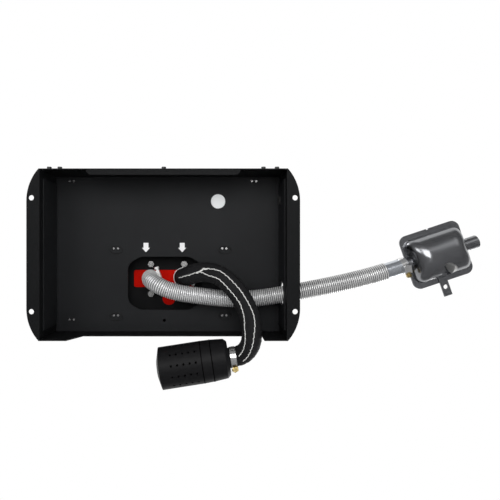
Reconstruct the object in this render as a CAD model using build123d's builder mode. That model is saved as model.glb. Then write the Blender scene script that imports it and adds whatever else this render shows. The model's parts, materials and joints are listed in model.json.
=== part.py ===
from build123d import *
import math
import os

os.makedirs("parts", exist_ok=True)

# Diesel air heater in a folded-steel cabinet, standing on two foot flanges.
# Millimetres, +Z up, -Y the front with the controls, +X the side that the exhaust leaves by.
# The origin lies on the floor, in the middle of the four foot holes.

# ---------------------------------------------------------------- cabinet dimensions
sheet = 1.5  # thickness of every steel panel
cabinet_w = 374.4  # over the side panels
cabinet_d = 259.0  # over the front and rear panels
cabinet_h = 330.0  # floor to the top of the cover
foot_reach = 18.2  # how far a foot flange turns outwards
foot_straight = 162.0  # straight part of a foot flange's outer edge
foot_hole_d = 8.0
foot_hole_out = 10.8  # foot holes outside the side panels
foot_hole_dy = 171.0
pan_z = 72.0  # underside of the floor pan
pan_side_flange = 58.0  # side edges of the pan, turned down inside the side panels
pan_end_flange = 20.0  # front and rear edges of the pan, turned up
notch_z = 35.5  # raised middle of the rear skirt
notch_in_left = 41.2  # its ends, inside the cabinet's two sides
notch_in_right = 35.2
notch_slope = 16.0  # how far its left side leans in
hem_in = 71.2  # bottom edge of the front skirt, folded inwards this far inside the sides
hem_w = 8.0
return_flange = 12.0  # folded edges of the front and rear panels and of the cover
seat_gap = 0.3  # clearance beside a piece that is free to move
turn_gap = 0.08  # clearance round a piece that turns or slides in a bore

# ---------------------------------------------------------------- heater dimensions
heater_y = 42.0  # axis of the heater unit, along X
bracket_rise = 33.0  # the mount bracket's plate stands this far above the pan
bracket_t = 2.0
gasket_t = 2.0
shell_len = 300.0
shell_size = 118.0  # width and height of the closed shells
shell_r = 30.0
shell_wall = 2.0
port_x = -3.2  # middle of the two ports
port_gap = 56.7  # exhaust and combustion-air ports, centre to centre
port_y = 39.5
exhaust_port_od = 22.4
intake_port_od = 24.2
port_wall = 1.5
port_end_z = 79.0  # lower end of both ports
stud_dx = 57.6
stud_dy = 51.5
stud_y = 43.1
stud_d = 6.0
nut_af = 10.0
nut_h = 5.0
window_w = 105.4
window_h = 30.3
window_r = 4.0
window_shift = 6.4  # its middle lies this far left of the ports' middle
lobe_r = 11.2
lobe_y = 77.5
cutout_w = 123.2
cutout_d = 88.5
cutout_x = -4.9
cutout_y = 48.25
cutout_cut_x = 21.0
cutout_cut_y = 12.0
cutout_r = 18.0
exchanger_gap = 15.0  # between the exchanger's drum and the outside of the shells
exchanger_wall = 3.0
exchanger_left = -75.0
exchanger_right = 60.0
fin_count = 16
fin_h = 8.0
fin_t = 2.0
burner_r = 30.0
burner_wall = 2.0
housing_gap = 11.0  # between the burner housing and the outside of the shells
housing_len = 20.0
motor_r = 24.0
motor_len = 36.0
shaft_r = 3.0
shaft_play = 0.05
fan_gap = 12.0  # between the hot-air fan's tips and the outside of the shells
fan_blades = 7
outlet_r = 34.0  # warm-air outlet in the left panel
collar_r = 37.3  # outside of the outlet collar, for a 75 mm duct
collar_len = 16.0
louvres = 7
inlet_r = 50.0  # air inlet in the right panel

# ---------------------------------------------------------------- fuel system dimensions
tank_in_left = 35.7  # the tank's ends, inside the two side panels
tank_in_right = 65.7
tank_gap = 3.0  # between the tank and the front panel
tank_rear = -34.0
tank_drop = 4.5  # its top, below the controller
tank_wall = 3.0
tank_r = 14.0
neck_in = 55.0  # filler neck, from the tank's left end
neck_back = 45.0  # and behind its front
neck_r = 24.0
neck_rise = 18.0  # neck above the cover
cap_r = 31.0
cap_h = 24.0
cap_ribs = 12
sight_in = 36.3  # hole in the pan under the tank, from the tank's right end
sight_y = -88.1
sight_d = 24.0
pump_out = 37.0  # pump and filter, right of the tank
pump_z = 112.0
pump_shift = 2.5  # forward of the middle between the front panel and the heater
pump_len = 50.0
pump_r = 14.0
plunger_r = 3.0
plunger_len = 20.0
plunger_travel = 2.0
nipple_r = 2.5
nipple_len = 10.0
line_r = 2.5
line_bore = 1.3
filter_out = 18.0
filter_z = 88.0
fuel_filter_r = 9.0
fuel_filter_len = 34.0

# ---------------------------------------------------------------- controls and handle
controller_in = 95.2  # middle of the controller, inside the cabinet's right side
controller_down = 39.0  # and below its top
controller_w = 118.0
controller_h = 46.0
controller_t = 18.0  # depth behind the front panel
bezel_t = 2.2
bezel_lap = 4.0
display_w = 50.0
display_h = 26.0
display_t = 1.6
button_r = 6.0
button_len = 6.0
button_proud = 1.4
button_travel = 1.2
grommet_in = 40.3  # cable passage, behind the front panel
grommet_z = 58.0
grommet_hole_r = 5.0
handle_span = 150.0  # between the two pivots
handle_reach = 58.0
handle_pin_r = 3.0
arm_t = 8.0
arm_h = 12.0
grip_r = 11.0
handle_y = -4.0
ear_t = 3.0
ear_foot = 14.0  # half the length of the plate under each pair of ears

# ---------------------------------------------------------------- hoses and what is on them
exhaust_bore = 22.8
exhaust_valley_r = 12.3
exhaust_crest_r = 13.6
rib_pitch = 5.0
exhaust_hole_y = 61.5
exhaust_hole_z = 42.0
exhaust_hole_r = 19.0
cuff_len = 34.0  # smooth end of the exhaust hose, at the silencer
intake_od = 32.0
intake_bore = 24.6
band_t = 0.8
band_w = 9.0
muffler_at = (426.3, 0.5, 34.2)
muffler_turn = -18.4  # its axis seen from above, from +X
muffler_tilt = 1.5  # its seam leans down towards the rear
muffler_len = 98.0
muffler_flange_w = 87.0
muffler_flange = 8.0  # seam flange along the two long sides
muffler_end_flange = 5.0
muffler_flange_r = 12.0
muffler_depth = 33.0
muffler_wall = 1.2
muffler_end_round = 24.0  # how far the body's ends are rounded in
muffler_notch_r = 2.0  # notch in the front flange
inlet_out = 24.0  # how far each pipe stands out
outlet_out = 18.0
outlet_free = 14.0  # sized end of the outlet pipe, which takes the next pipe
outlet_neck = 0.3  # step behind the sized end
inlet_pipe_od = 22.6
outlet_pipe_od = 20.0
tab_w = 13.0
tab_end = 66.0
tab_t = 2.0
tab_hole_d = 6.7
silencer_at = (99.5, 163.6, 36.6)  # shoulder of the intake silencer, on its axis
silencer_turn = 171.5  # from its neck towards its closed end, from +X
silencer_fall = 1.5  # its closed end lies on the floor
silencer_len = 108.0
silencer_r = 33.0
silencer_taper = 1.5  # narrower at the shoulder by this much
silencer_wall = 2.5
silencer_neck_r = 12.2
silencer_neck = 10.0
silencer_dome = 6.0

# Places that follow from the dimensions above
side_in = cabinet_w / 2 - sheet
end_in = cabinet_d / 2 - sheet
foot_hole_dx = cabinet_w + 2 * foot_hole_out
notch_left = -cabinet_w / 2 + notch_in_left
notch_right = cabinet_w / 2 - notch_in_right
hem_left = -cabinet_w / 2 + hem_in
hem_right = cabinet_w / 2 - hem_in
pan_top = pan_z + sheet
bracket_z = pan_top + bracket_rise
gasket_z = bracket_z + bracket_t
shell_bottom = gasket_z + gasket_t
heater_z = shell_bottom + shell_size / 2
panel_top = cabinet_h - sheet
housing_right = exchanger_right + housing_len
motor_right = housing_right + motor_len
exhaust_x = port_x - port_gap / 2
intake_x = port_x + port_gap / 2
window_x = port_x - window_shift
window_y = port_y + 3.0
exchanger_r = shell_size / 2 - exchanger_gap
housing_r = shell_size / 2 - housing_gap
fan_r = shell_size / 2 - fan_gap
tank_left = -side_in + tank_in_left
tank_right = side_in - tank_in_right
tank_front = -end_in + tank_gap
neck_y = tank_front + neck_back
neck_x = tank_left + neck_in
sight_x = tank_right - sight_in
pump_x = tank_right + pump_out
pump_y = (heater_y - shell_size / 2 - end_in) / 2 - pump_shift
pump_rear = pump_y + pump_len / 2
filter_x = tank_right + filter_out
controller_x = cabinet_w / 2 - controller_in
controller_z = cabinet_h - controller_down
tank_top = controller_z - controller_h / 2 - tank_drop
tank_h = tank_top - pan_top
grommet_y = -end_in + grommet_in


def box_between(low, high, mode=Mode.ADD):
    """A block from its lowest to its highest corner, in the builder that is open."""
    size = [h - l for l, h in zip(low, high)]
    middle = [(l + h) / 2 for l, h in zip(low, high)]
    with Locations(tuple(middle)):
        Box(*size, mode=mode)


def rod_between(start, end, radius, mode=Mode.ADD):
    """A round rod from one point to another, in the builder that is open."""
    run = Vector(*end) - Vector(*start)
    with Locations(Plane(origin=start, z_dir=run.normalized()).location):
        Cylinder(radius, run.length, align=(Align.CENTER, Align.CENTER, Align.MIN), mode=mode)


# ---------------------------------------------------------------- side panels
def side_panel(side):
    """A side sheet, side 1 on the right and -1 on the left, with its foot flange turned outwards."""
    outer = side * cabinet_w / 2
    inner = side * side_in
    reach = outer + side * foot_reach
    half = foot_straight / 2
    with BuildPart() as panel:
        with BuildSketch(Plane.XY):
            with BuildLine():
                Line((inner, -cabinet_d / 2), (outer, -cabinet_d / 2))
                TangentArc((reach, -half), (outer, -cabinet_d / 2), tangent=(0, -1))
                Line((reach, -half), (reach, half))
                TangentArc((reach, half), (outer, cabinet_d / 2), tangent=(0, 1))
                Polyline((outer, cabinet_d / 2), (inner, cabinet_d / 2), (inner, -cabinet_d / 2))
            make_face()
            with Locations((side * foot_hole_dx / 2, 0)):
                with GridLocations(0, foot_hole_dy, 1, 2):
                    Circle(foot_hole_d / 2, mode=Mode.SUBTRACT)
        extrude(amount=sheet)
        low, high = sorted((inner, outer))
        box_between((low, -cabinet_d / 2, 0), (high, cabinet_d / 2, panel_top))
    return panel


right_panel = side_panel(1)
with BuildPart() as right_side_panel:
    add(right_panel.part)
    reach_in = side_in - 1
    reach_out = side_in + sheet + 1
    rod_between(
        (reach_in, exhaust_hole_y, exhaust_hole_z),
        (reach_out, exhaust_hole_y, exhaust_hole_z),
        exhaust_hole_r,
        Mode.SUBTRACT,
    )
    rod_between(
        (reach_in, grommet_y, grommet_z),
        (reach_out, grommet_y, grommet_z),
        grommet_hole_r,
        Mode.SUBTRACT,
    )
    rod_between((reach_in, heater_y, heater_z), (reach_out, heater_y, heater_z), inlet_r, Mode.SUBTRACT)
right_side_panel.part.label = "right_side_panel"
export_step(right_side_panel.part, "parts/right_side_panel.step")

left_panel = side_panel(-1)
with BuildPart() as left_side_panel:
    add(left_panel.part)
    rod_between((-reach_in, heater_y, heater_z), (-reach_out, heater_y, heater_z), outlet_r, Mode.SUBTRACT)
left_side_panel.part.label = "left_side_panel"
export_step(left_side_panel.part, "parts/left_side_panel.step")


# ---------------------------------------------------------------- front and rear panels
def end_panel(side):
    """The front (-1) or rear (1) sheet down to the floor, with its side edges folded inwards."""
    fold_low = pan_top + pan_end_flange
    fold_high = panel_top - return_flange - seat_gap
    y_low, y_high = sorted((side * cabinet_d / 2, side * end_in))
    fold_near, fold_far = sorted((side * end_in, side * (end_in - return_flange)))
    with BuildPart() as panel:
        box_between((-side_in, y_low, 0), (side_in, y_high, panel_top))
        for end in (-1, 1):
            x_low, x_high = sorted((end * side_in, end * (side_in - sheet)))
            box_between((x_low, fold_near, fold_low), (x_high, fold_far, fold_high))
    return panel


front_sheet = end_panel(-1)
with BuildPart() as front_panel:
    add(front_sheet.part)
    with BuildSketch(Plane.XY):
        with BuildLine():
            Line((hem_left, -end_in), (hem_right, -end_in))
            RadiusArc((hem_right, -end_in), (hem_right - hem_w, -end_in + hem_w), -hem_w)
            Line((hem_right - hem_w, -end_in + hem_w), (hem_left + hem_w, -end_in + hem_w))
            RadiusArc((hem_left + hem_w, -end_in + hem_w), (hem_left, -end_in), -hem_w)
        make_face()
    extrude(amount=sheet)
    box_between(
        (controller_x - controller_w / 2 - 0.3, -cabinet_d / 2 - 1, controller_z - controller_h / 2 - 0.3),
        (controller_x + controller_w / 2 + 0.3, -end_in + 1, controller_z + controller_h / 2 + 0.3),
        Mode.SUBTRACT,
    )
front_panel.part.label = "front_panel"
export_step(front_panel.part, "parts/front_panel.step")

rear_sheet = end_panel(1)
with BuildPart() as rear_panel:
    add(rear_sheet.part)
    with BuildSketch(Plane.XZ.offset(-cabinet_d / 2 - 1)):
        with BuildLine():
            Polyline(
                (notch_left, 0),
                (notch_left + notch_slope, notch_z),
                (notch_right, notch_z),
                (notch_right, 0),
                close=True,
            )
        make_face()
    extrude(amount=sheet + 2, mode=Mode.SUBTRACT)
rear_panel.part.label = "rear_panel"
export_step(rear_panel.part, "parts/rear_panel.step")

# ---------------------------------------------------------------- floor pan
strap_left = -side_in + 26.3  # the tank straps' plates
strap_right = side_in - 42.3
strap_front = -end_in + 6.6
strap_rear = end_in - 19.6
outer_pairs = [(x, y) for y in (strap_front, strap_rear) for x in (strap_left, strap_right)]
inner_pairs = [(-86, -9.8), (94, -9.8), (-86, 101.6), (94, 101.6)]
pair_gap = 7.0  # between the two rivets of a pair
pair_places = [(x + step, y) for x, y in outer_pairs + inner_pairs for step in (-pair_gap / 2, pair_gap / 2)]
rivet_r = 1.6
drain_r = 2.4
drain_at = (-5.7, 110.0)
flange_end = end_in - return_flange

with BuildPart() as base_pan:
    with BuildSketch(Plane.XY.offset(pan_z)):
        Rectangle(2 * side_in, 2 * end_in)
        with BuildLine():
            far_x = cutout_w / 2
            far_y = cutout_d / 2
            near_x = far_x - cutout_cut_x
            near_y = far_y - cutout_cut_y
            corners = [(near_x, far_y), (far_x, near_y), (far_x, -near_y), (near_x, -far_y)]
            corners += [(-x, y) for x, y in reversed(corners)]
            FilletPolyline(*[(cutout_x + x, cutout_y + y) for x, y in corners], radius=cutout_r, close=True)
        make_face(mode=Mode.SUBTRACT)
        with Locations((sight_x, sight_y)):
            Circle(sight_d / 2, mode=Mode.SUBTRACT)
        with Locations(drain_at):
            Circle(drain_r, mode=Mode.SUBTRACT)
        with Locations(*pair_places):
            Circle(rivet_r + 0.05, mode=Mode.SUBTRACT)
    extrude(amount=sheet)
    for side in (-1, 1):
        x_low, x_high = sorted((side * side_in, side * (side_in - sheet)))
        box_between((x_low, -flange_end, pan_z - pan_side_flange), (x_high, flange_end, pan_z))
        y_low, y_high = sorted((side * end_in, side * (end_in - sheet)))
        box_between((-side_in, y_low, pan_top), (side_in, y_high, pan_top + pan_end_flange))
    rod_between(
        (side_in - sheet - 1, exhaust_hole_y, exhaust_hole_z),
        (side_in + 1, exhaust_hole_y, exhaust_hole_z),
        exhaust_hole_r,
        Mode.SUBTRACT,
    )
    rod_between(
        (side_in - sheet - 1, grommet_y, grommet_z),
        (side_in + 1, grommet_y, grommet_z),
        grommet_hole_r,
        Mode.SUBTRACT,
    )
base_pan.part.label = "base_pan"
export_step(base_pan.part, "parts/base_pan.step")

# Rivets of the pan: the outer pairs hold the tank straps' plates, the inner ones the mount bracket's feet
rivet_head_r = 1.8
rivet_head_h = 1.2
foot_plate_t = 2.0
with BuildPart() as pan_rivets:
    with Locations(*[(x, y, pan_z - rivet_head_h) for x, y in pair_places]):
        Cylinder(rivet_head_r, rivet_head_h, align=(Align.CENTER, Align.CENTER, Align.MIN))
    with Locations(*[(x, y, pan_z) for x, y in pair_places[:8]]):
        Cylinder(rivet_r, sheet, align=(Align.CENTER, Align.CENTER, Align.MIN))
    with Locations(*[(x, y, pan_z) for x, y in pair_places[8:]]):
        Cylinder(rivet_r, sheet + foot_plate_t, align=(Align.CENTER, Align.CENTER, Align.MIN))
pan_rivets.part.label = "pan_rivets"
export_step(pan_rivets.part, "parts/pan_rivets.step")

# ---------------------------------------------------------------- top cover
with BuildPart() as top_cover:
    box_between((-cabinet_w / 2, -cabinet_d / 2, panel_top), (cabinet_w / 2, cabinet_d / 2, cabinet_h))
    box_between((-side_in, -end_in, panel_top - return_flange), (side_in, end_in, panel_top))
    box_between(
        (-side_in + sheet, -end_in + sheet, panel_top - return_flange),
        (side_in - sheet, end_in - sheet, panel_top),
        Mode.SUBTRACT,
    )
    rod_between((neck_x, neck_y, panel_top - 1), (neck_x, neck_y, cabinet_h + 1), neck_r + 1.5, Mode.SUBTRACT)
    rim = top_cover.edges().filter_by(GeomType.LINE).group_by(Axis.Z)[-1]
    chamfer(rim, 0.8)
top_cover.part.label = "top_cover"
export_step(top_cover.part, "parts/top_cover.step")

# ---------------------------------------------------------------- cabinet screws
screw_head_r = 3.4
screw_head_h = 3.8
side_head_h = 2.4
screw_in = 13.2  # end screws, inside the cabinet's sides
screw_row_low = 9.0
screw_row_mid = 150.0  # below the top row
screw_row_high = cabinet_h - 30.0
screw_left = -cabinet_w / 2 + screw_in
screw_right = cabinet_w / 2 - screw_in
front_screws = [(screw_left, screw_row_low), (screw_left + 16.0, screw_row_low), (0, screw_row_low)]
front_screws += [(screw_right - 22.5, screw_row_low), (screw_right - 2.0, screw_row_low)]
front_screws += [(x, screw_row_high) for x in (screw_left, 0, screw_right)]
rear_rows = (pan_z - 12.0, screw_row_high - screw_row_mid, screw_row_high)
rear_screws = [(x, z) for x in (screw_left, screw_right) for z in rear_rows]
side_rows = (pan_z + 38.0, screw_row_high - screw_row_mid / 2, screw_row_high)
side_screws = [(side * (cabinet_d / 2 - 7.5), z) for side in (-1, 1) for z in side_rows]
with BuildPart() as cabinet_screws:
    with Locations(*[Location((x, -cabinet_d / 2, z), (90, 0, 0)) for x, z in front_screws]):
        Cylinder(screw_head_r, screw_head_h, align=(Align.CENTER, Align.CENTER, Align.MIN))
    with Locations(*[Location((x, cabinet_d / 2, z), (-90, 0, 0)) for x, z in rear_screws]):
        Cylinder(screw_head_r, screw_head_h, align=(Align.CENTER, Align.CENTER, Align.MIN))
    for side in (-1, 1):
        with Locations(*[Location((side * cabinet_w / 2, y, z), (0, side * 90, 0)) for y, z in side_screws]):
            Cylinder(screw_head_r, side_head_h, align=(Align.CENTER, Align.CENTER, Align.MIN))
cabinet_screws.part.label = "cabinet_screws"
export_step(cabinet_screws.part, "parts/cabinet_screws.step")

# ---------------------------------------------------------------- carrying handle
pivot_z = cabinet_h + grip_r + seat_gap
pin_len = arm_t + 2 * (seat_gap + ear_t)
ear_h = pivot_z - cabinet_h + arm_h / 2
with BuildPart() as handle_brackets:
    for side in (-1, 1):
        x = side * handle_span / 2
        box_between(
            (x - pin_len / 2, handle_y - ear_foot, cabinet_h),
            (x + pin_len / 2, handle_y + ear_foot, cabinet_h + 2.5),
        )
        for ear in (-1, 1):
            inside = x + ear * (arm_t / 2 + seat_gap)
            low, high = sorted((inside, inside + ear * ear_t))
            box_between((low, handle_y - 7, cabinet_h), (high, handle_y + 7, cabinet_h + ear_h))
        rod_between(
            (x - pin_len, handle_y, pivot_z),
            (x + pin_len, handle_y, pivot_z),
            handle_pin_r + 0.02,
            Mode.SUBTRACT,
        )
handle_brackets.part.label = "handle_brackets"
export_step(handle_brackets.part, "parts/handle_brackets.step")

with BuildPart() as handle_pins:
    for side in (-1, 1):
        x = side * handle_span / 2
        rod_between((x - pin_len / 2, handle_y, pivot_z), (x + pin_len / 2, handle_y, pivot_z), handle_pin_r)
handle_pins.part.label = "handle_pins"
export_step(handle_pins.part, "parts/handle_pins.step")

bar_r = 6.0
with BuildPart() as carry_handle:
    for side in (-1, 1):
        x = side * handle_span / 2
        with BuildSketch(Plane.YZ.offset(x - arm_t / 2)):
            with Locations((handle_y + handle_reach / 2, pivot_z)):
                SlotCenterToCenter(handle_reach, arm_h)
            with Locations((handle_y, pivot_z)):
                Circle(handle_pin_r + shaft_play, mode=Mode.SUBTRACT)
        extrude(amount=arm_t)
    bar_end = handle_span / 2 - arm_t / 2
    bar_y = handle_y + handle_reach
    rod_between((-bar_end, bar_y, pivot_z), (bar_end, bar_y, pivot_z), bar_r)
carry_handle.part.label = "carry_handle"
export_step(carry_handle.part, "parts/carry_handle.step")

with BuildPart() as handle_grip:
    grip_end = bar_end - 8
    rod_between((-grip_end, bar_y, pivot_z), (grip_end, bar_y, pivot_z), grip_r)
    fillet(handle_grip.edges().filter_by(GeomType.CIRCLE), 2.5)
    rod_between((-grip_end - 1, bar_y, pivot_z), (grip_end + 1, bar_y, pivot_z), bar_r, Mode.SUBTRACT)
handle_grip.part.label = "handle_grip"
export_step(handle_grip.part, "parts/handle_grip.step")

# ---------------------------------------------------------------- mount bracket and gasket
bracket_foot = 18.0
bracket_y = (inner_pairs[0][1] + inner_pairs[2][1]) / 2
bracket_d = inner_pairs[2][1] - inner_pairs[0][1] + 16
bracket_x = (inner_pairs[0][0] + inner_pairs[1][0]) / 2
bracket_half = (inner_pairs[1][0] - inner_pairs[0][0]) / 2 - 9


def window_outline(shrink):
    """The bracket's window, drawn smaller by shrink all round: an oblong with a round lobe behind it."""
    with Locations((window_x, window_y)):
        RectangleRounded(window_w - 2 * shrink, window_h - 2 * shrink, window_r - shrink)
    with Locations((port_x + 1.9, lobe_y)):
        Circle(lobe_r - shrink)


with BuildPart() as mount_bracket:
    with BuildSketch(Plane.XZ.offset(-(bracket_y + bracket_d / 2))):
        with BuildLine():
            half = bracket_half
            edge = half + bracket_foot
            Polyline(
                (bracket_x - edge, pan_top),
                (bracket_x - half, pan_top),
                (bracket_x - half, bracket_z),
                (bracket_x + half, bracket_z),
                (bracket_x + half, pan_top),
                (bracket_x + edge, pan_top),
                (bracket_x + edge, pan_top + foot_plate_t),
                (bracket_x + half + foot_plate_t, pan_top + foot_plate_t),
                (bracket_x + half + foot_plate_t, gasket_z),
                (bracket_x - half - foot_plate_t, gasket_z),
                (bracket_x - half - foot_plate_t, pan_top + foot_plate_t),
                (bracket_x - edge, pan_top + foot_plate_t),
                close=True,
            )
        make_face()
    extrude(amount=bracket_d)
    with BuildSketch(Plane.XY.offset(bracket_z)):
        window_outline(0)
        with Locations((port_x, stud_y)):
            with GridLocations(stud_dx, stud_dy, 2, 2):
                Circle(stud_d / 2 + 0.3)
    extrude(amount=bracket_t, mode=Mode.SUBTRACT)
    with Locations(*[(x, y, pan_top) for x, y in pair_places[8:]]):
        Cylinder(rivet_r + 0.05, 3 * foot_plate_t, mode=Mode.SUBTRACT)
mount_bracket.part.label = "mount_bracket"
export_step(mount_bracket.part, "parts/mount_bracket.step")

ports = [((exhaust_x, port_y), exhaust_port_od), ((intake_x, port_y), intake_port_od)]
with BuildPart() as port_gasket:
    with BuildSketch(Plane.XY.offset(bracket_z)):
        window_outline(0.3)
    extrude(amount=bracket_t)
    with BuildSketch(Plane.XY.offset(gasket_z)):
        with Locations((window_x, window_y)):
            RectangleRounded(window_w + 10, window_h + 9, window_r + 5)
        with Locations((port_x + 1.9, lobe_y)):
            Circle(lobe_r + 3)
        with Locations((port_x + 1.9, (window_y + lobe_y) / 2)):
            Rectangle(lobe_r * 2, lobe_y - window_y)
        with Locations((port_x, stud_y)):
            with GridLocations(stud_dx, stud_dy, 2, 2):
                Circle(stud_d / 2 + 0.3, mode=Mode.SUBTRACT)
    extrude(amount=gasket_t)
    with BuildSketch(Plane.XY.offset(bracket_z - 1)):
        for place, od in ports:
            with Locations(place):
                Circle(od / 2 + 0.1)
    extrude(amount=bracket_t + gasket_t + 2, mode=Mode.SUBTRACT)
port_gasket.part.label = "port_gasket"
export_step(port_gasket.part, "parts/port_gasket.step")

stud_proud = 3.0
with BuildPart() as mount_nuts:
    with BuildSketch(Plane.XY.offset(bracket_z - nut_h)):
        with Locations((port_x, stud_y)):
            with GridLocations(stud_dx, stud_dy, 2, 2):
                RegularPolygon(nut_af / 2, 6, major_radius=False)
    extrude(amount=nut_h)
    with BuildSketch(Plane.XY.offset(bracket_z - nut_h - stud_proud)):
        with Locations((port_x, stud_y)):
            with GridLocations(stud_dx, stud_dy, 2, 2):
                Circle(stud_d / 2)
    extrude(amount=shell_bottom + shell_wall + 1 - (bracket_z - nut_h - stud_proud))
mount_nuts.part.label = "mount_nuts"
export_step(mount_nuts.part, "parts/mount_nuts.step")


# ---------------------------------------------------------------- heater shells
def heater_shell(upper):
    """Half of the heater's moulded case: a rounded tunnel with a round opening at each end."""
    half = shell_len / 2
    with BuildPart() as shell:
        with BuildSketch(Plane.YZ.offset(-half)):
            with Locations((heater_y, heater_z)):
                RectangleRounded(shell_size, shell_size, shell_r)
        extrude(amount=shell_len)
        with BuildSketch(Plane.YZ.offset(-half + shell_wall)):
            with Locations((heater_y, heater_z)):
                inside = shell_size - 2 * shell_wall
                RectangleRounded(inside, inside, shell_r - shell_wall)
        extrude(amount=shell_len - 2 * shell_wall, mode=Mode.SUBTRACT)
        rod_between((-half - 1, heater_y, heater_z), (0, heater_y, heater_z), outlet_r, Mode.SUBTRACT)
        rod_between((0, heater_y, heater_z), (half + 1, heater_y, heater_z), inlet_r, Mode.SUBTRACT)
        keep = Keep.TOP if upper else Keep.BOTTOM
        split(bisect_by=Plane.XY.offset(heater_z), keep=keep)
    return shell


fuel_entry_x = exchanger_right + housing_len / 2
fuel_entry_z = 150.0
lower_half = heater_shell(False)
with BuildPart() as lower_shell:
    add(lower_half.part)
    with BuildSketch(Plane.XY.offset(shell_bottom - 1)):
        for place, od in ports:
            with Locations(place):
                Circle(od / 2 + 0.5)
        with Locations((port_x, stud_y)):
            with GridLocations(stud_dx, stud_dy, 2, 2):
                Circle(stud_d / 2 + 0.1)
    extrude(amount=shell_wall + 2, mode=Mode.SUBTRACT)
    side_y = heater_y - shell_size / 2
    rod_between(
        (fuel_entry_x, side_y - 5, fuel_entry_z),
        (fuel_entry_x, side_y + 12, fuel_entry_z),
        line_r + 0.5,
        Mode.SUBTRACT,
    )
lower_shell.part.label = "lower_shell"
export_step(lower_shell.part, "parts/lower_shell.step")

board_gap = 5.0
board_t = 1.6
board_left = 72.0
board_len = 66.0
board_w = 44.0
shell_ceiling = heater_z + shell_size / 2 - shell_wall
board_posts = [(board_left + 6, heater_y), (board_left + board_len - 6, heater_y)]
upper_half = heater_shell(True)
with BuildPart() as upper_shell:
    add(upper_half.part)
    with Locations(*[(x, y, shell_ceiling) for x, y in board_posts]):
        Cylinder(3.0, board_gap, align=(Align.CENTER, Align.CENTER, Align.MAX))
upper_shell.part.label = "upper_shell"
export_step(upper_shell.part, "parts/upper_shell.step")

with BuildPart() as control_board:
    board_top = shell_ceiling - board_gap
    box_between(
        (board_left, heater_y - board_w / 2, board_top - board_t),
        (board_left + board_len, heater_y + board_w / 2, board_top),
    )
    for step in (-12, 12):
        chip_low = (board_left + 16, heater_y + step - 6, board_top)
        chip_high = (board_left + 34, heater_y + step + 6, board_top + board_gap - 1)
        box_between(chip_low, chip_high)
control_board.part.label = "control_board"
export_step(control_board.part, "parts/control_board.step")

# ---------------------------------------------------------------- heat exchanger and burner
with BuildPart() as heat_exchanger:
    rod_between((exchanger_left, heater_y, heater_z), (exchanger_right, heater_y, heater_z), exchanger_r)
    for i in range(fin_count):
        angle = math.radians((i + 0.5) * 360 / fin_count)
        direction = Vector(0, math.cos(angle), math.sin(angle))
        across = Vector(0, -math.sin(angle), math.cos(angle))
        middle = Vector(exchanger_left, heater_y, heater_z) + direction * (exchanger_r + fin_h / 2 - 1)
        with BuildSketch(Plane(origin=middle, x_dir=across, z_dir=(1, 0, 0))):
            Rectangle(fin_t, fin_h + 2)
        extrude(amount=exchanger_right - exchanger_left - 12)
    pad_low = shell_bottom + shell_wall
    pad_high = heater_z - exchanger_r + 8
    box_between((exhaust_x - 14, port_y - 16, pad_low), (intake_x + 14, port_y + 16, pad_high))
    with BuildSketch(Plane.XY.offset(port_end_z)):
        for place, od in ports:
            with Locations(place):
                Circle(od / 2)
    extrude(amount=pad_low - port_end_z)
    rod_between(
        (exchanger_left + exchanger_wall, heater_y, heater_z),
        (exchanger_right + 1, heater_y, heater_z),
        exchanger_r - exchanger_wall,
        Mode.SUBTRACT,
    )
    with BuildSketch(Plane.XY.offset(port_end_z - 1)):
        for place, od in ports:
            with Locations(place):
                Circle(od / 2 - port_wall)
    extrude(amount=heater_z - exchanger_r + 12 - port_end_z, mode=Mode.SUBTRACT)
    plug_x = 38.0
    plug_top = (plug_x, heater_y, heater_z + exchanger_r + 2)
    rod_between((plug_x, heater_y, heater_z), plug_top, 4.1, Mode.SUBTRACT)
heat_exchanger.part.label = "heat_exchanger"
export_step(heat_exchanger.part, "parts/heat_exchanger.step")

burner_len = 96.0
burner_flange_r = exchanger_r - exchanger_wall - 0.1
burner_ring = 3.0
with BuildPart() as burner_tube:
    rod_between(
        (exchanger_right - burner_len, heater_y, heater_z), (exchanger_right, heater_y, heater_z), burner_r
    )
    rod_between(
        (exchanger_right - burner_ring, heater_y, heater_z),
        (exchanger_right, heater_y, heater_z),
        burner_flange_r,
    )
    rod_between(
        (exchanger_right - burner_len - 1, heater_y, heater_z),
        (exchanger_right - burner_ring, heater_y, heater_z),
        burner_r - burner_wall,
        Mode.SUBTRACT,
    )
    rod_between(
        (exchanger_right - burner_ring - 1, heater_y, heater_z),
        (exchanger_right + 1, heater_y, heater_z),
        12.0,
        Mode.SUBTRACT,
    )
burner_tube.part.label = "burner_tube"
export_step(burner_tube.part, "parts/burner_tube.step")

with BuildPart() as glow_plug:
    plug_low = heater_z + burner_r + 0.2
    rod_between((plug_x, heater_y, plug_low), (plug_x, heater_y, heater_z + exchanger_r + 1), 4.0)
    with BuildSketch(Plane.XY.offset(heater_z + exchanger_r + 0.5)):
        with Locations((plug_x, heater_y)):
            RegularPolygon(6.0, 6, major_radius=False)
    extrude(amount=6.0)
    rod_between((plug_x, heater_y, heater_z + exchanger_r + 6), (plug_x, heater_y, shell_ceiling - 2), 2.5)
glow_plug.part.label = "glow_plug"
export_step(glow_plug.part, "parts/glow_plug.step")

sensor_x = -23.0
with BuildPart() as overheat_sensor:
    top_z = heater_z + exchanger_r
    half_w = exchanger_r * 7 / 44  # between two fins
    low = (sensor_x - 11, heater_y - half_w, top_z - 0.2)
    box_between(low, (sensor_x + 11, heater_y + half_w, top_z + 3))
    rod_between((sensor_x, heater_y, top_z + 2.5), (sensor_x, heater_y, top_z + 7), 4.5)
    rod_between(
        (sensor_x - 17, heater_y, heater_z),
        (sensor_x + 17, heater_y, heater_z),
        exchanger_r + 0.1,
        Mode.SUBTRACT,
    )
overheat_sensor.part.label = "overheat_sensor"
export_step(overheat_sensor.part, "parts/overheat_sensor.step")

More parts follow.
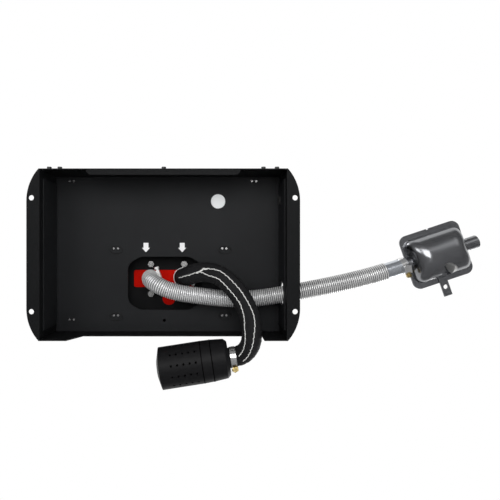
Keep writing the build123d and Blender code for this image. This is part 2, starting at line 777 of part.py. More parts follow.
# ---------------------------------------------------------------- fan housing, motor and rotor
rotor_chamber_r = 36.0
fuel_boss_y = heater_y - housing_r - 1.0
chamber_floor = 3.0
with BuildPart() as burner_housing:
    rod_between((exchanger_right, heater_y, heater_z), (housing_right, heater_y, heater_z), housing_r)
    rod_between(
        (exchanger_right - 1, heater_y, heater_z),
        (housing_right - chamber_floor, heater_y, heater_z),
        rotor_chamber_r,
        Mode.SUBTRACT,
    )
    rod_between(
        (exchanger_right, heater_y, heater_z),
        (housing_right + 1, heater_y, heater_z),
        shaft_r + 1,
        Mode.SUBTRACT,
    )
    rod_between((fuel_entry_x, heater_y - 30, fuel_entry_z), (fuel_entry_x, fuel_boss_y, fuel_entry_z), 5.0)
    housing_foot = shell_bottom + shell_wall
    box_between((exchanger_right, heater_y - 16, housing_foot), (housing_right, heater_y + 16, heater_z - 40))
burner_housing.part.label = "burner_housing"
export_step(burner_housing.part, "parts/burner_housing.step")

with BuildPart() as fan_motor:
    rod_between((housing_right, heater_y, heater_z), (motor_right, heater_y, heater_z), motor_r)
    fillet(fan_motor.edges().filter_by(GeomType.CIRCLE).sort_by(Axis.X)[-1], 4.0)
    rod_between((motor_right - 1, heater_y, heater_z), (motor_right + 3, heater_y, heater_z), 8.0)
    rod_between(
        (housing_right - 1, heater_y, heater_z),
        (motor_right + 4, heater_y, heater_z),
        shaft_r + shaft_play,
        Mode.SUBTRACT,
    )
fan_motor.part.label = "fan_motor"
export_step(fan_motor.part, "parts/fan_motor.step")

shaft_left = exchanger_right + 3
shaft_right = motor_right + 26
with BuildPart() as motor_shaft:
    rod_between((shaft_left, heater_y, heater_z), (shaft_right, heater_y, heater_z), shaft_r)
motor_shaft.part.label = "motor_shaft"
export_step(motor_shaft.part, "parts/motor_shaft.step")

vane_count = 8
vane_t = 1.6
combustion_r = 32.0
disc_t = 2.0
with BuildPart() as combustion_fan:
    disc_left = shaft_left + 8
    rod_between((disc_left, heater_y, heater_z), (disc_left + disc_t, heater_y, heater_z), combustion_r)
    rod_between((shaft_left + 1, heater_y, heater_z), (shaft_left + 9, heater_y, heater_z), 7.0)
    with BuildSketch(Plane.YZ.offset(shaft_left + 2)):
        with Locations((heater_y, heater_z)):
            with PolarLocations((combustion_r + 9) / 2, vane_count):
                Rectangle(combustion_r - 9, vane_t)
    extrude(amount=6.5)
    bore_end = (shaft_left + 12, heater_y, heater_z)
    rod_between((shaft_left, heater_y, heater_z), bore_end, shaft_r, Mode.SUBTRACT)
combustion_fan.part.label = "combustion_fan"
export_step(combustion_fan.part, "parts/combustion_fan.step")

hub_r = 13.0
blade_t = 2.0
fan_left = motor_right + 5
fan_len = 18.0
blade_pitch = 38.0
with BuildPart() as hot_air_fan:
    rod_between((fan_left, heater_y, heater_z), (fan_left + fan_len, heater_y, heater_z), hub_r)
    for i in range(fan_blades):
        angle = math.radians(i * 360 / fan_blades)
        outwards = Vector(0, math.cos(angle), math.sin(angle))
        around = Vector(0, -math.sin(angle), math.cos(angle))
        lean = math.radians(blade_pitch)
        chord = Vector(1, 0, 0) * math.cos(lean) + around * math.sin(lean)
        root = Vector(fan_left + fan_len / 2, heater_y, heater_z) + outwards * (hub_r - 3)
        with BuildSketch(Plane(origin=root, x_dir=chord, z_dir=outwards)):
            Rectangle(fan_len, blade_t)
        extrude(amount=fan_r - hub_r + 3)
    rod_between(
        (fan_left - 1, heater_y, heater_z),
        (fan_left + fan_len + 1, heater_y, heater_z),
        shaft_r,
        Mode.SUBTRACT,
    )
hot_air_fan.part.label = "hot_air_fan"
export_step(hot_air_fan.part, "parts/hot_air_fan.step")

# ---------------------------------------------------------------- warm-air outlet and air inlet
duct_wall = 1.5
with BuildPart() as outlet_duct:
    duct_right = -shell_len / 2
    rod_between((-side_in, heater_y, heater_z), (duct_right, heater_y, heater_z), outlet_r + 4)
    rod_between(
        (-side_in - 1, heater_y, heater_z),
        (duct_right + 1, heater_y, heater_z),
        outlet_r + 4 - duct_wall,
        Mode.SUBTRACT,
    )
outlet_duct.part.label = "outlet_duct"
export_step(outlet_duct.part, "parts/outlet_duct.step")

collar_left = -cabinet_w / 2 - collar_len
vent_r = outlet_r - 1.0
with BuildPart() as outlet_collar:
    rod_between((-cabinet_w / 2, heater_y, heater_z), (collar_left, heater_y, heater_z), collar_r)
    rod_between((-cabinet_w / 2, heater_y, heater_z), (-cabinet_w / 2 - 2, heater_y, heater_z), collar_r + 7)
    rod_between(
        (-cabinet_w / 2 + 1, heater_y, heater_z),
        (collar_left - 1, heater_y, heater_z),
        vent_r + turn_gap,
        Mode.SUBTRACT,
    )
outlet_collar.part.label = "outlet_collar"
export_step(outlet_collar.part, "parts/outlet_collar.step")

vent_len = 12.0
vent_rim = 2.5
louvre_t = 1.6
louvre_lean = 35.0
with BuildPart() as outlet_vent:
    vent_left = collar_left + 1
    pitch = 2 * (vent_r - vent_rim) / (louvres + 1)
    lean = math.radians(louvre_lean)
    for i in range(louvres):
        rise = (i + 1) * pitch - (vent_r - vent_rim)
        middle = (vent_left + vent_len / 2, heater_y, heater_z + rise)
        with BuildSketch(Plane(origin=middle, x_dir=(0, 1, 0), z_dir=(math.sin(lean), 0, math.cos(lean)))):
            Rectangle(2 * vent_r, vent_len - 2)
        extrude(amount=louvre_t / 2, both=True)
    rod_between(
        (vent_left, heater_y, heater_z),
        (vent_left + vent_len, heater_y, heater_z),
        vent_r - 1,
        Mode.INTERSECT,
    )
    with BuildSketch(Plane.YZ.offset(vent_left)):
        with Locations((heater_y, heater_z)):
            Circle(vent_r)
            Circle(vent_r - vent_rim, mode=Mode.SUBTRACT)
    extrude(amount=vent_len)
outlet_vent.part.label = "outlet_vent"
export_step(outlet_vent.part, "parts/outlet_vent.step")

guard_t = 3.0
guard_bar = 2.4
guard_rings = 5
with BuildPart() as inlet_guard:
    with BuildSketch(Plane.YZ.offset(cabinet_w / 2)):
        with Locations((heater_y, heater_z)):
            Circle(inlet_r + 7)
            Circle(inlet_r - 2, mode=Mode.SUBTRACT)
            for i in range(1, guard_rings):
                ring_r = i * (inlet_r - 2) / guard_rings
                Circle(ring_r + guard_bar / 2)
                Circle(ring_r - guard_bar / 2, mode=Mode.SUBTRACT)
            Circle(8.0)
            with PolarLocations(0, 4, 45, 180):
                Rectangle(2 * inlet_r, guard_bar)
    extrude(amount=guard_t)
inlet_guard.part.label = "inlet_guard"
export_step(inlet_guard.part, "parts/inlet_guard.step")

# ---------------------------------------------------------------- fuel tank and cap
tank_mid_x = (tank_left + tank_right) / 2
tank_mid_y = (tank_front + tank_rear) / 2
neck_top = cabinet_h + neck_rise
outlet_at_y = -45.0
with BuildPart() as fuel_tank:
    with BuildSketch(Plane.XY.offset(pan_top)):
        with Locations((tank_mid_x, tank_mid_y)):
            RectangleRounded(tank_right - tank_left, tank_rear - tank_front, tank_r)
    extrude(amount=tank_h)
    rod_between((neck_x, neck_y, tank_top), (neck_x, neck_y, neck_top), neck_r)
    with BuildSketch(Plane.XY.offset(pan_top + tank_wall)):
        with Locations((tank_mid_x, tank_mid_y)):
            RectangleRounded(
                tank_right - tank_left - 2 * tank_wall,
                tank_rear - tank_front - 2 * tank_wall,
                tank_r - tank_wall,
            )
    extrude(amount=tank_h - 2 * tank_wall, mode=Mode.SUBTRACT)
    rod_between(
        (neck_x, neck_y, tank_top - tank_wall - 1),
        (neck_x, neck_y, neck_top + 1),
        neck_r - tank_wall,
        Mode.SUBTRACT,
    )
    nipple_end = tank_right + nipple_len
    rod_between((tank_right - 1, outlet_at_y, filter_z), (nipple_end - 2, outlet_at_y, filter_z), nipple_r)
    rod_between(
        (tank_right - 5, outlet_at_y, filter_z), (nipple_end, outlet_at_y, filter_z), line_bore, Mode.SUBTRACT
    )
fuel_tank.part.label = "fuel_tank"
export_step(fuel_tank.part, "parts/fuel_tank.step")

seal_t = 2.5
with BuildPart() as filler_seal:
    rod_between((neck_x, neck_y, cabinet_h), (neck_x, neck_y, cabinet_h + seal_t), cap_r + 3)
    rod_between(
        (neck_x, neck_y, cabinet_h - 1),
        (neck_x, neck_y, cabinet_h + seal_t + 1),
        neck_r + seat_gap,
        Mode.SUBTRACT,
    )
filler_seal.part.label = "filler_seal"
export_step(filler_seal.part, "parts/filler_seal.step")

with BuildPart() as tank_cap:
    cap_low = cabinet_h + seal_t + seat_gap
    rod_between((neck_x, neck_y, cap_low), (neck_x, neck_y, cap_low + cap_h), cap_r)
    with BuildSketch(Plane.XY.offset(cap_low)):
        with Locations((neck_x, neck_y)):
            with PolarLocations(cap_r + 3, cap_ribs):
                Circle(4.5)
    extrude(amount=cap_h, mode=Mode.SUBTRACT)
    rod_between(
        (neck_x, neck_y, cap_low - 1), (neck_x, neck_y, neck_top + seat_gap), neck_r + turn_gap, Mode.SUBTRACT
    )
tank_cap.part.label = "tank_cap"
export_step(tank_cap.part, "parts/tank_cap.step")

# ---------------------------------------------------------------- fuel pump, its filter and the lines
pump_front = pump_rear - pump_len
chamber_low = pump_front + 12
with BuildPart() as fuel_pump:
    rod_between((pump_x, pump_front, pump_z), (pump_x, pump_rear, pump_z), pump_r)
    fillet(fuel_pump.edges().filter_by(GeomType.CIRCLE), 2.0)
    rod_between((pump_x, pump_front - nipple_len, pump_z), (pump_x, pump_rear + nipple_len, pump_z), nipple_r)
    box_between((pump_x - 6, pump_front + 8, pump_z), (pump_x + 6, pump_front + 22, pump_z + pump_r + 8))
    rod_between(
        (pump_x, chamber_low, pump_z),
        (pump_x, chamber_low + plunger_len + plunger_travel + 1, pump_z),
        plunger_r + shaft_play,
        Mode.SUBTRACT,
    )
    rod_between(
        (pump_x, pump_front - nipple_len - 1, pump_z),
        (pump_x, pump_rear + nipple_len + 1, pump_z),
        line_bore,
        Mode.SUBTRACT,
    )
fuel_pump.part.label = "fuel_pump"
export_step(fuel_pump.part, "parts/fuel_pump.step")

with BuildPart() as pump_plunger:
    plunger_front = chamber_low + 0.5
    rod_between((pump_x, plunger_front, pump_z), (pump_x, plunger_front + plunger_len, pump_z), plunger_r)
pump_plunger.part.label = "pump_plunger"
export_step(pump_plunger.part, "parts/pump_plunger.step")

holder_t = 4.0
holder_w = 14.0
with BuildPart() as pump_holder:
    holder_mid = pump_rear - 16
    with BuildSketch(Plane.XZ.offset(-(holder_mid + holder_w / 2))):
        with Locations((pump_x, pump_z)):
            Circle(pump_r + holder_t)
        with Locations((pump_x, (pump_z + pan_top) / 2)):
            Rectangle(10, pump_z - pan_top)
        with Locations((pump_x, pan_top + 1.5)):
            Rectangle(34, 3)
        with Locations((pump_x, pump_z)):
            Circle(pump_r, mode=Mode.SUBTRACT)
    extrude(amount=holder_w)
pump_holder.part.label = "pump_holder"
export_step(pump_holder.part, "parts/pump_holder.step")

filter_rear = outlet_at_y - 14
filter_front = filter_rear - fuel_filter_len
with BuildPart() as fuel_filter:
    rod_between((filter_x, filter_front, filter_z), (filter_x, filter_rear, filter_z), fuel_filter_r)
    chamfer(fuel_filter.edges().filter_by(GeomType.CIRCLE), 2.0)
    rod_between((filter_x, filter_front - 5, filter_z), (filter_x, filter_rear + 5, filter_z), nipple_r)
    rod_between(
        (filter_x, filter_front - 6, filter_z),
        (filter_x, filter_rear + 6, filter_z),
        line_bore,
        Mode.SUBTRACT,
    )
fuel_filter.part.label = "fuel_filter"
export_step(fuel_filter.part, "parts/fuel_filter.step")


def bend_radii(points):
    """The radius at each corner of a route: as large as the two runs that meet there allow."""
    spots = [Vector(*p) for p in points]
    radii = []
    for before, corner, after in zip(spots, spots[1:], spots[2:]):
        into = corner - before
        out = after - corner
        turn = math.radians(into.get_angle(out))
        radii.append(0.45 * min(into.length, out.length) / math.tan(turn / 2))
    return radii


fuel_turn = (pump_front - nipple_len - end_in) / 2 - 2
corridor_y = (tank_rear + heater_y - shell_size / 2) / 2
fuel_routes = [
    [
        (tank_right + nipple_len - 2, outlet_at_y, filter_z),
        (filter_x, outlet_at_y, filter_z),
        (filter_x, filter_rear + 5, filter_z),
    ],
    [
        (filter_x, filter_front - 5, filter_z),
        (filter_x, fuel_turn, filter_z),
        (pump_x, fuel_turn, pump_z),
        (pump_x, pump_front - nipple_len, pump_z),
    ],
    [
        (pump_x, pump_rear + nipple_len, pump_z),
        (pump_x, corridor_y, pump_z),
        (fuel_entry_x, corridor_y, fuel_entry_z),
        (fuel_entry_x, fuel_boss_y - 0.1, fuel_entry_z),
    ],
]
with BuildPart() as fuel_lines:
    for route in fuel_routes:
        with BuildLine() as route_line:
            FilletPolyline(*route, radius=bend_radii(route))
        with BuildSketch(Plane(origin=route[0], z_dir=route_line.line % 0)):
            Circle(line_r)
            Circle(line_bore, mode=Mode.SUBTRACT)
        sweep(path=route_line.line)
fuel_lines.part.label = "fuel_lines"
export_step(fuel_lines.part, "parts/fuel_lines.step")

# ---------------------------------------------------------------- controller
controller_front = -cabinet_d / 2 - bezel_t
display_x = controller_x - 30
display_z = controller_z
button_places = {
    "button_down": (controller_x + 6, controller_z),
    "button_up": (controller_x + 22, controller_z),
    "button_ok": (controller_x + 38, controller_z + 10),
    "button_power": (controller_x + 38, controller_z - 10),
}
with BuildPart() as controller_case:
    with BuildSketch(Plane.XZ.offset(cabinet_d / 2)):
        with Locations((controller_x, controller_z)):
            RectangleRounded(controller_w + 2 * bezel_lap, controller_h + 2 * bezel_lap, bezel_lap)
    extrude(amount=bezel_t)
    chamfer(controller_case.faces().sort_by(Axis.Y)[0].edges(), 1.0)
    with BuildSketch(Plane.XZ.offset(cabinet_d / 2)):
        with Locations((controller_x, controller_z)):
            Rectangle(controller_w, controller_h)
    extrude(amount=-controller_t)
    with BuildSketch(Plane.XZ.offset(-controller_front)):
        with Locations((display_x, display_z)):
            Rectangle(display_w, display_h)
    extrude(amount=-display_t, mode=Mode.SUBTRACT)
    with BuildSketch(Plane.XZ.offset(-controller_front)):
        with Locations(*button_places.values()):
            Circle(button_r + turn_gap)
    extrude(amount=-(button_len - button_proud + button_travel + seat_gap), mode=Mode.SUBTRACT)
controller_case.part.label = "controller_case"
export_step(controller_case.part, "parts/controller_case.step")

with BuildPart() as display_window:
    with BuildSketch(Plane.XZ.offset(-controller_front - display_t)):
        with Locations((display_x, display_z)):
            Rectangle(display_w - 0.2, display_h - 0.2)
    extrude(amount=display_t)
display_window.part.label = "display_window"
export_step(display_window.part, "parts/display_window.step")

for name, (x, z) in button_places.items():
    with BuildPart() as button:
        front = controller_front - button_proud
        rod_between((x, front, z), (x, front + button_len, z), button_r)
        chamfer(button.edges().filter_by(GeomType.CIRCLE).sort_by(Axis.Y)[0], 0.8)
    button.part.label = name
    export_step(button.part, f"parts/{name}.step")

grommet_bore = 3.2
with BuildPart() as cable_grommet:
    wall_in = side_in - sheet
    wall_out = cabinet_w / 2
    rod_between((wall_in - 2, grommet_y, grommet_z), (wall_in, grommet_y, grommet_z), grommet_hole_r + 2.5)
    rod_between((wall_in, grommet_y, grommet_z), (wall_out, grommet_y, grommet_z), grommet_hole_r)
    rod_between((wall_out, grommet_y, grommet_z), (wall_out + 2, grommet_y, grommet_z), grommet_hole_r + 2.5)
    rod_between(
        (wall_in - 3, grommet_y, grommet_z),
        (wall_out + 3, grommet_y, grommet_z),
        grommet_bore,
        Mode.SUBTRACT,
    )
cable_grommet.part.label = "cable_grommet"
export_step(cable_grommet.part, "parts/cable_grommet.step")

# ---------------------------------------------------------------- exhaust silencer
turn = math.radians(muffler_turn)
tilt = math.radians(muffler_tilt)
muffler_axis = Vector(math.cos(turn), math.sin(turn), 0)
muffler_side = Vector(-math.sin(turn), math.cos(turn), 0)
muffler_up = muffler_side * math.sin(tilt) + Vector(0, 0, 1) * math.cos(tilt)
muffler_plane = Plane(origin=muffler_at, x_dir=muffler_axis, z_dir=muffler_up)
dome_half = muffler_flange_w / 2 - muffler_flange
dome_len = muffler_len - 2 * muffler_end_flange
recess_r = 11.5  # recess in the lower half, over the bracket's weld
recess_x = -0.5
recess_in = 24.0  # from the middle of the body to the recess's own middle
recess_lean = 5.0  # degrees that its walls lean inwards, towards the seam
pipe_r = inlet_pipe_od / 2
outlet_r_free = outlet_pipe_od / 2
outlet_r_neck = outlet_r_free - outlet_neck


def half_dome(side, shrink):
    """One pressed half of the silencer's body as a solid, smaller by shrink all round."""
    half = dome_half - shrink
    depth = muffler_depth - shrink
    half_len = dome_len / 2 - shrink
    with BuildPart() as dome:
        for turn_up in (0, 32, 58, 76, 86):
            rise = math.sin(math.radians(turn_up))
            inwards = 1 - math.cos(math.radians(turn_up))
            across = half * (1 - inwards)
            corner = min(muffler_flange_r, 0.8 * across)
            with BuildSketch(Plane.XY.offset(side * depth * rise)):
                RectangleRounded(2 * (half_len - muffler_end_round * inwards), 2 * across, corner)
        loft()
        if side < 0:
            with BuildSketch(Plane.XY.offset(-muffler_depth * 1.2)):
                with Locations((recess_x, recess_in)):
                    Circle(recess_r + shrink)
                    Rectangle(2 * (recess_r + shrink), dome_half, align=(Align.CENTER, Align.MIN))
            extrude(amount=muffler_depth * 1.2, taper=recess_lean, mode=Mode.SUBTRACT)
    return dome.part


def muffler_shell(side):
    """One half of the silencer: a flange on the seam, the pressed body and the pipes' openings."""
    with BuildPart() as shell:
        with BuildSketch(Plane.XY):
            RectangleRounded(muffler_len, muffler_flange_w, muffler_flange_r)
            with Locations((0, -muffler_flange_w / 2)):
                Circle(muffler_notch_r, mode=Mode.SUBTRACT)
        extrude(amount=side * muffler_wall)
        add(half_dome(side, 0))
        add(half_dome(side, muffler_wall), mode=Mode.SUBTRACT)
        reach = muffler_len / 2 + 1
        rod_between((-reach, 0, 0), (0, 0, 0), pipe_r + 0.05, Mode.SUBTRACT)
        rod_between((0, 0, 0), (reach, 0, 0), outlet_r_neck + 0.05, Mode.SUBTRACT)
    return muffler_plane.from_local_coords(shell.part)


muffler_lower = muffler_shell(-1)
muffler_lower.label = "muffler_lower_shell"
export_step(muffler_lower, "parts/muffler_lower_shell.step")

muffler_upper = muffler_shell(1)
muffler_upper.label = "muffler_upper_shell"
export_step(muffler_upper, "parts/muffler_upper_shell.step")

pipe_inside = 10.0
with BuildPart() as muffler_inlet:
    inlet_far = (-muffler_len / 2 - inlet_out, 0, 0)
    inlet_near = (-muffler_len / 2 + pipe_inside, 0, 0)
    rod_between(inlet_far, inlet_near, pipe_r)
    rod_between(inlet_far, inlet_near, pipe_r - port_wall, Mode.SUBTRACT)
muffler_inlet_part = muffler_plane.from_local_coords(muffler_inlet.part)
muffler_inlet_part.label = "muffler_inlet"
export_step(muffler_inlet_part, "parts/muffler_inlet.step")

with BuildPart() as muffler_outlet:
    outlet_far = (muffler_len / 2 + outlet_out, 0, 0)
    outlet_near = (muffler_len / 2 - pipe_inside, 0, 0)
    rod_between(outlet_near, outlet_far, outlet_r_neck)
    rod_between((outlet_far[0] - outlet_free, 0, 0), outlet_far, outlet_r_free)
    rod_between(outlet_near, outlet_far, outlet_r_free - port_wall, Mode.SUBTRACT)
muffler_outlet_part = muffler_plane.from_local_coords(muffler_outlet.part)
muffler_outlet_part.label = "muffler_outlet"
export_step(muffler_outlet_part, "parts/muffler_outlet.step")

tab_x = -3.2
tab_hole_y = 51.8
tab_start = dome_half + 0.3
with BuildPart() as muffler_bracket:
    with BuildSketch(Plane.XY.offset(-muffler_wall)):
        with Locations((tab_x, (tab_start + tab_end) / 2)):
            Rectangle(tab_w, tab_end - tab_start)
        with Locations((tab_x, tab_hole_y)):
            Circle(tab_hole_d / 2, mode=Mode.SUBTRACT)
    extrude(amount=-tab_t)
muffler_bracket_part = muffler_plane.from_local_coords(muffler_bracket.part)
muffler_bracket_part.label = "muffler_bracket"
export_step(muffler_bracket_part, "parts/muffler_bracket.step")

# ---------------------------------------------------------------- exhaust hose
hose_end = Vector(*muffler_at) - muffler_axis * (muffler_len / 2 + 0.5)
last_run = 46.0
exhaust_route = [
    (exhaust_x, port_y, 103.0),
    (exhaust_x, port_y, 65.0),
    (-16.0, 49.0, 46.5),
    (12.0, 60.5, 45.0),
    (51.0, 66.5, 48.0),
    (96.0, 72.0, 51.0),
    (142.0, 71.5, 48.5),
    (190.0, 63.0, 42.0),
    (238.0, 53.5, 38.5),
    (285.0, 43.5, 36.0),
    tuple(hose_end - muffler_axis * last_run),
    tuple(hose_end),
]
exhaust_radii = bend_radii(exhaust_route)
print("exhaust hose corner radii", [round(r, 1) for r in exhaust_radii])
with BuildLine() as exhaust_line:
    FilletPolyline(*exhaust_route, radius=exhaust_radii)
exhaust_path = exhaust_line.wire()
exhaust_len = exhaust_path.length
print("exhaust hose length", round(exhaust_len, 1))


def hose_circle(distance, radius):
    """A circle square to the exhaust hose, so far along it."""
    share = distance / exhaust_len
    square = Plane(origin=exhaust_path @ share, x_dir=(0.2, 0.3, 0.93), z_dir=exhaust_path % share)
    return square.location * Circle(radius)


plain_start = 2 * exhaust_crest_r
ribbed_len = exhaust_len - plain_start - cuff_len
ribs = int(ribbed_len / rib_pitch)
step = ribbed_len / ribs
sections = [hose_circle(0, exhaust_valley_r)]
for rib in range(ribs):
    start = plain_start + rib * step
    sections.append(hose_circle(start, exhaust_valley_r))
    sections.append(hose_circle(start + step * 0.3, exhaust_crest_r))
    sections.append(hose_circle(start + step * 0.6, exhaust_crest_r))
    sections.append(hose_circle(start + step * 0.9, exhaust_valley_r))
sections.append(hose_circle(exhaust_len - cuff_len, exhaust_valley_r))
sections.append(hose_circle(exhaust_len, exhaust_valley_r))
with BuildPart() as exhaust_hose:
    loft(sections=[section.face() for section in sections], ruled=True)
    with BuildSketch(Plane(origin=exhaust_path @ 0, z_dir=exhaust_path % 0)):
        Circle(exhaust_bore / 2)
    sweep(path=exhaust_path, mode=Mode.SUBTRACT)
exhaust_hose.part.label = "exhaust_hose"
export_step(exhaust_hose.part, "parts/exhaust_hose.step")
mean_r = (exhaust_valley_r + exhaust_crest_r) / 2
ring_area = math.pi * (mean_r**2 - (exhaust_bore / 2) ** 2)
print("exhaust hose ribs", ribs)
print("exhaust hose volume", round(exhaust_hose.part.volume), "about", round(ring_area * exhaust_len))

# ---------------------------------------------------------------- intake silencer
along = math.radians(silencer_turn)
fall = math.radians(silencer_fall)
silencer_axis = Vector(math.cos(along) * math.cos(fall), math.sin(along) * math.cos(fall), -math.sin(fall))
silencer_plane = Plane(origin=silencer_at, x_dir=(0, 0, 1), z_dir=silencer_axis)
joint_at = 41.5  # where the perforated cup meets the neck half
groove_at = 26.0
groove = 0.8
groove_w = 1.0
hole_r = 1.8
shoulder_r = silencer_r - silencer_taper
with BuildPart() as silencer_base:
    with BuildSketch(Plane.XZ):
        with BuildLine():
            Polyline(
                (silencer_neck_r - 2, -silencer_neck),
                (silencer_neck_r, -silencer_neck),
                (silencer_neck_r, 0),
                (shoulder_r - 5, 0),
                (shoulder_r - 0.8, 5),
                (silencer_r - 0.5, groove_at),
                (silencer_r - 0.5 - groove, groove_at),
                (silencer_r - 0.5 - groove, groove_at + groove_w),
                (silencer_r - 0.5, groove_at + groove_w),
                (silencer_r, joint_at),
                (shoulder_r - silencer_wall, joint_at),
                (shoulder_r - silencer_wall, 7),
                (shoulder_r - 7, silencer_wall),
                (silencer_neck_r - 2, silencer_wall),
                close=True,
            )
        make_face()
    revolve(axis=Axis.Z)
silencer_base_part = silencer_plane.from_local_coords(silencer_base.part)
silencer_base_part.label = "silencer_base"
export_step(silencer_base_part, "parts/silencer_base.step")

hole_rows = 6
holes_in_row = 5
hole_pitch = 9.5
with BuildPart() as silencer_cup:
    cup_low = joint_at
    rim = silencer_len
    with BuildSketch(Plane.XZ):
        with BuildLine():
            Polyline(
                (0, rim + silencer_dome - silencer_wall),
                (silencer_r * 0.5, rim + silencer_dome * 0.75 - silencer_wall),
                (silencer_r - silencer_wall, rim - silencer_wall),
                (silencer_r - silencer_wall, cup_low),
                (silencer_r - groove, cup_low),
                (silencer_r - groove, cup_low + groove_w),
                (silencer_r, cup_low + groove_w),
                (silencer_r, rim),
                (silencer_r * 0.5, rim + silencer_dome * 0.75),
                (0, rim + silencer_dome),
                close=True,
            )
        make_face()
    revolve(axis=Axis.Z)
    for row in range(hole_rows):
        angle = 180 + (row - (hole_rows - 1) / 2) * 30
        ray = Vector(math.cos(math.radians(angle)), math.sin(math.radians(angle)), 0)
        for hole in range(holes_in_row):
            start = ray * (silencer_r - 5) + Vector(0, 0, cup_low + hole_pitch * (hole + 1))
            rod_between(tuple(start), tuple(start + ray * 8), hole_r, Mode.SUBTRACT)
    with BuildSketch(Plane.XY.offset(rim - silencer_wall - 1)):
        with PolarLocations(9.0, 5, start_angle=30):
            Circle(hole_r)
        with PolarLocations(20.0, 9, start_angle=15):
            Circle(hole_r)
    extrude(amount=silencer_dome + 4, mode=Mode.SUBTRACT)
silencer_cup_part = silencer_plane.from_local_coords(silencer_cup.part)
silencer_cup_part.label = "silencer_cup"
export_step(silencer_cup_part, "parts/silencer_cup.step")

with BuildPart(silencer_plane) as silencer_foam:
    foam_low = 10.0
    foam_len = silencer_len - 20.0
    with Locations((0, 0, foam_low + foam_len / 2)):
        Cylinder(shoulder_r - silencer_wall - 0.2, foam_len)
        Cylinder(silencer_neck_r, foam_len, mode=Mode.SUBTRACT)
silencer_foam.part.label = "silencer_foam"
export_step(silencer_foam.part, "parts/silencer_foam.step")

# ---------------------------------------------------------------- intake hose
neck_end = Vector(*silencer_at) - silencer_axis * 0.5
intake_route = [
    (intake_x, port_y, 103.0),
    (intake_x, port_y, 66.0),
    (51.5, 27.5, 42.5),
    (82.0, 29.0, 26.0),
    (107.5, 50.0, 16.4),
    (122.5, 73.0, 16.3),
    (132.3, 97.0, 16.3),
    (135.0, 118.0, 16.3),
    (134.0, 136.5, 19.5),
    (127.5, 152.0, 30.5),
    tuple(neck_end - silencer_axis * 17.0),
    tuple(neck_end),
]
intake_radii = bend_radii(intake_route)
print("intake hose corner radii", [round(r, 1) for r in intake_radii])
with BuildLine() as intake_line:
    FilletPolyline(*intake_route, radius=intake_radii)
intake_path = intake_line.wire()
with BuildPart() as intake_hose:
    with BuildSketch(Plane(origin=intake_path @ 0, z_dir=intake_path % 0)):
        Circle(intake_od / 2)
        Circle(intake_bore / 2, mode=Mode.SUBTRACT)
    sweep(path=intake_path)
intake_hose.part.label = "intake_hose"
export_step(intake_hose.part, "parts/intake_hose.step")
ring_area = math.pi * ((intake_od / 2) ** 2 - (intake_bore / 2) ** 2)
print("intake hose length", round(intake_path.length, 1))
print("intake hose volume", round(intake_hose.part.volume), "about", round(ring_area * intake_path.length))


# ---------------------------------------------------------------- worm clamps
def worm_clamp(middle, along_hose, outwards, radius):
    """A worm-drive clamp round a hose: its band with the worm's housing, and the hex-headed screw."""
    plane = Plane(origin=middle, x_dir=outwards, z_dir=along_hose)
    band_in = radius + 0.05
    band_out = band_in + band_t
    housing_x = band_out + 2.6
    screw_r = 2.4
    screw_len = 17.0
    screw_head = 4.0
    screw_head_af = 7.0
    with BuildPart(plane) as clamp:
        Cylinder(band_out, band_w)
        with Locations((housing_x - 0.8, 0, 0)):
            Box(6.6, 13.0, band_w + 2.0)
        Cylinder(band_in, band_w + 4, mode=Mode.SUBTRACT)
        screw_start = plane.from_local_coords(Vector(housing_x, -8, 0))
        screw_stop = plane.from_local_coords(Vector(housing_x, -8 + screw_len, 0))
        with BuildSketch(Plane(origin=screw_start, x_dir=outwards, z_dir=plane.y_dir)):
            Circle(screw_r)
        extrude(amount=screw_len)
        with BuildSketch(Plane(origin=screw_stop, x_dir=outwards, z_dir=plane.y_dir)):
            RegularPolygon(screw_head_af / 2, 6, major_radius=False)
        extrude(amount=screw_head)
    return clamp


clamp_z = port_end_z + 12
exhaust_port_clamp = worm_clamp((exhaust_x, port_y, clamp_z), (0, 0, -1), (0.93, -0.36, 0), exhaust_valley_r)
exhaust_port_clamp.part.label = "exhaust_port_clamp"
export_step(exhaust_port_clamp.part, "parts/exhaust_port_clamp.step")

intake_port_clamp = worm_clamp((intake_x, port_y, clamp_z), (0, 0, -1), (0.93, 0.36, 0), intake_od / 2)
intake_port_clamp.part.label = "intake_port_clamp"
export_step(intake_port_clamp.part, "parts/intake_port_clamp.step")

muffler_clamp_at = hose_end - muffler_axis * (band_w / 2 + 1.2)
muffler_clamp = worm_clamp(tuple(muffler_clamp_at), tuple(muffler_axis), (0.1, 0.3, -0.95), exhaust_valley_r)
muffler_clamp.part.label = "muffler_clamp"
export_step(muffler_clamp.part, "parts/muffler_clamp.step")

silencer_clamp_at = neck_end - silencer_axis * (band_w / 2 + 2)
silencer_clamp = worm_clamp(tuple(silencer_clamp_at), tuple(silencer_axis), (0.07, 0.97, -0.2), intake_od / 2)
silencer_clamp.part.label = "silencer_clamp"
export_step(silencer_clamp.part, "parts/silencer_clamp.step")
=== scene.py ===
# %% [markdown]
# # A diesel air heater, seen from below
# This notebook dresses a finished CAD model. The CAD holds every rigid piece at its real size, so
# nothing here is moved or resized. What Blender adds is the two hoses, the small things that are
# too fine for the CAD, and a finish for every surface. It opens by loading the model as a fixed
# frame.

# %% Load the frame
import json
import math
from bisect import bisect_right

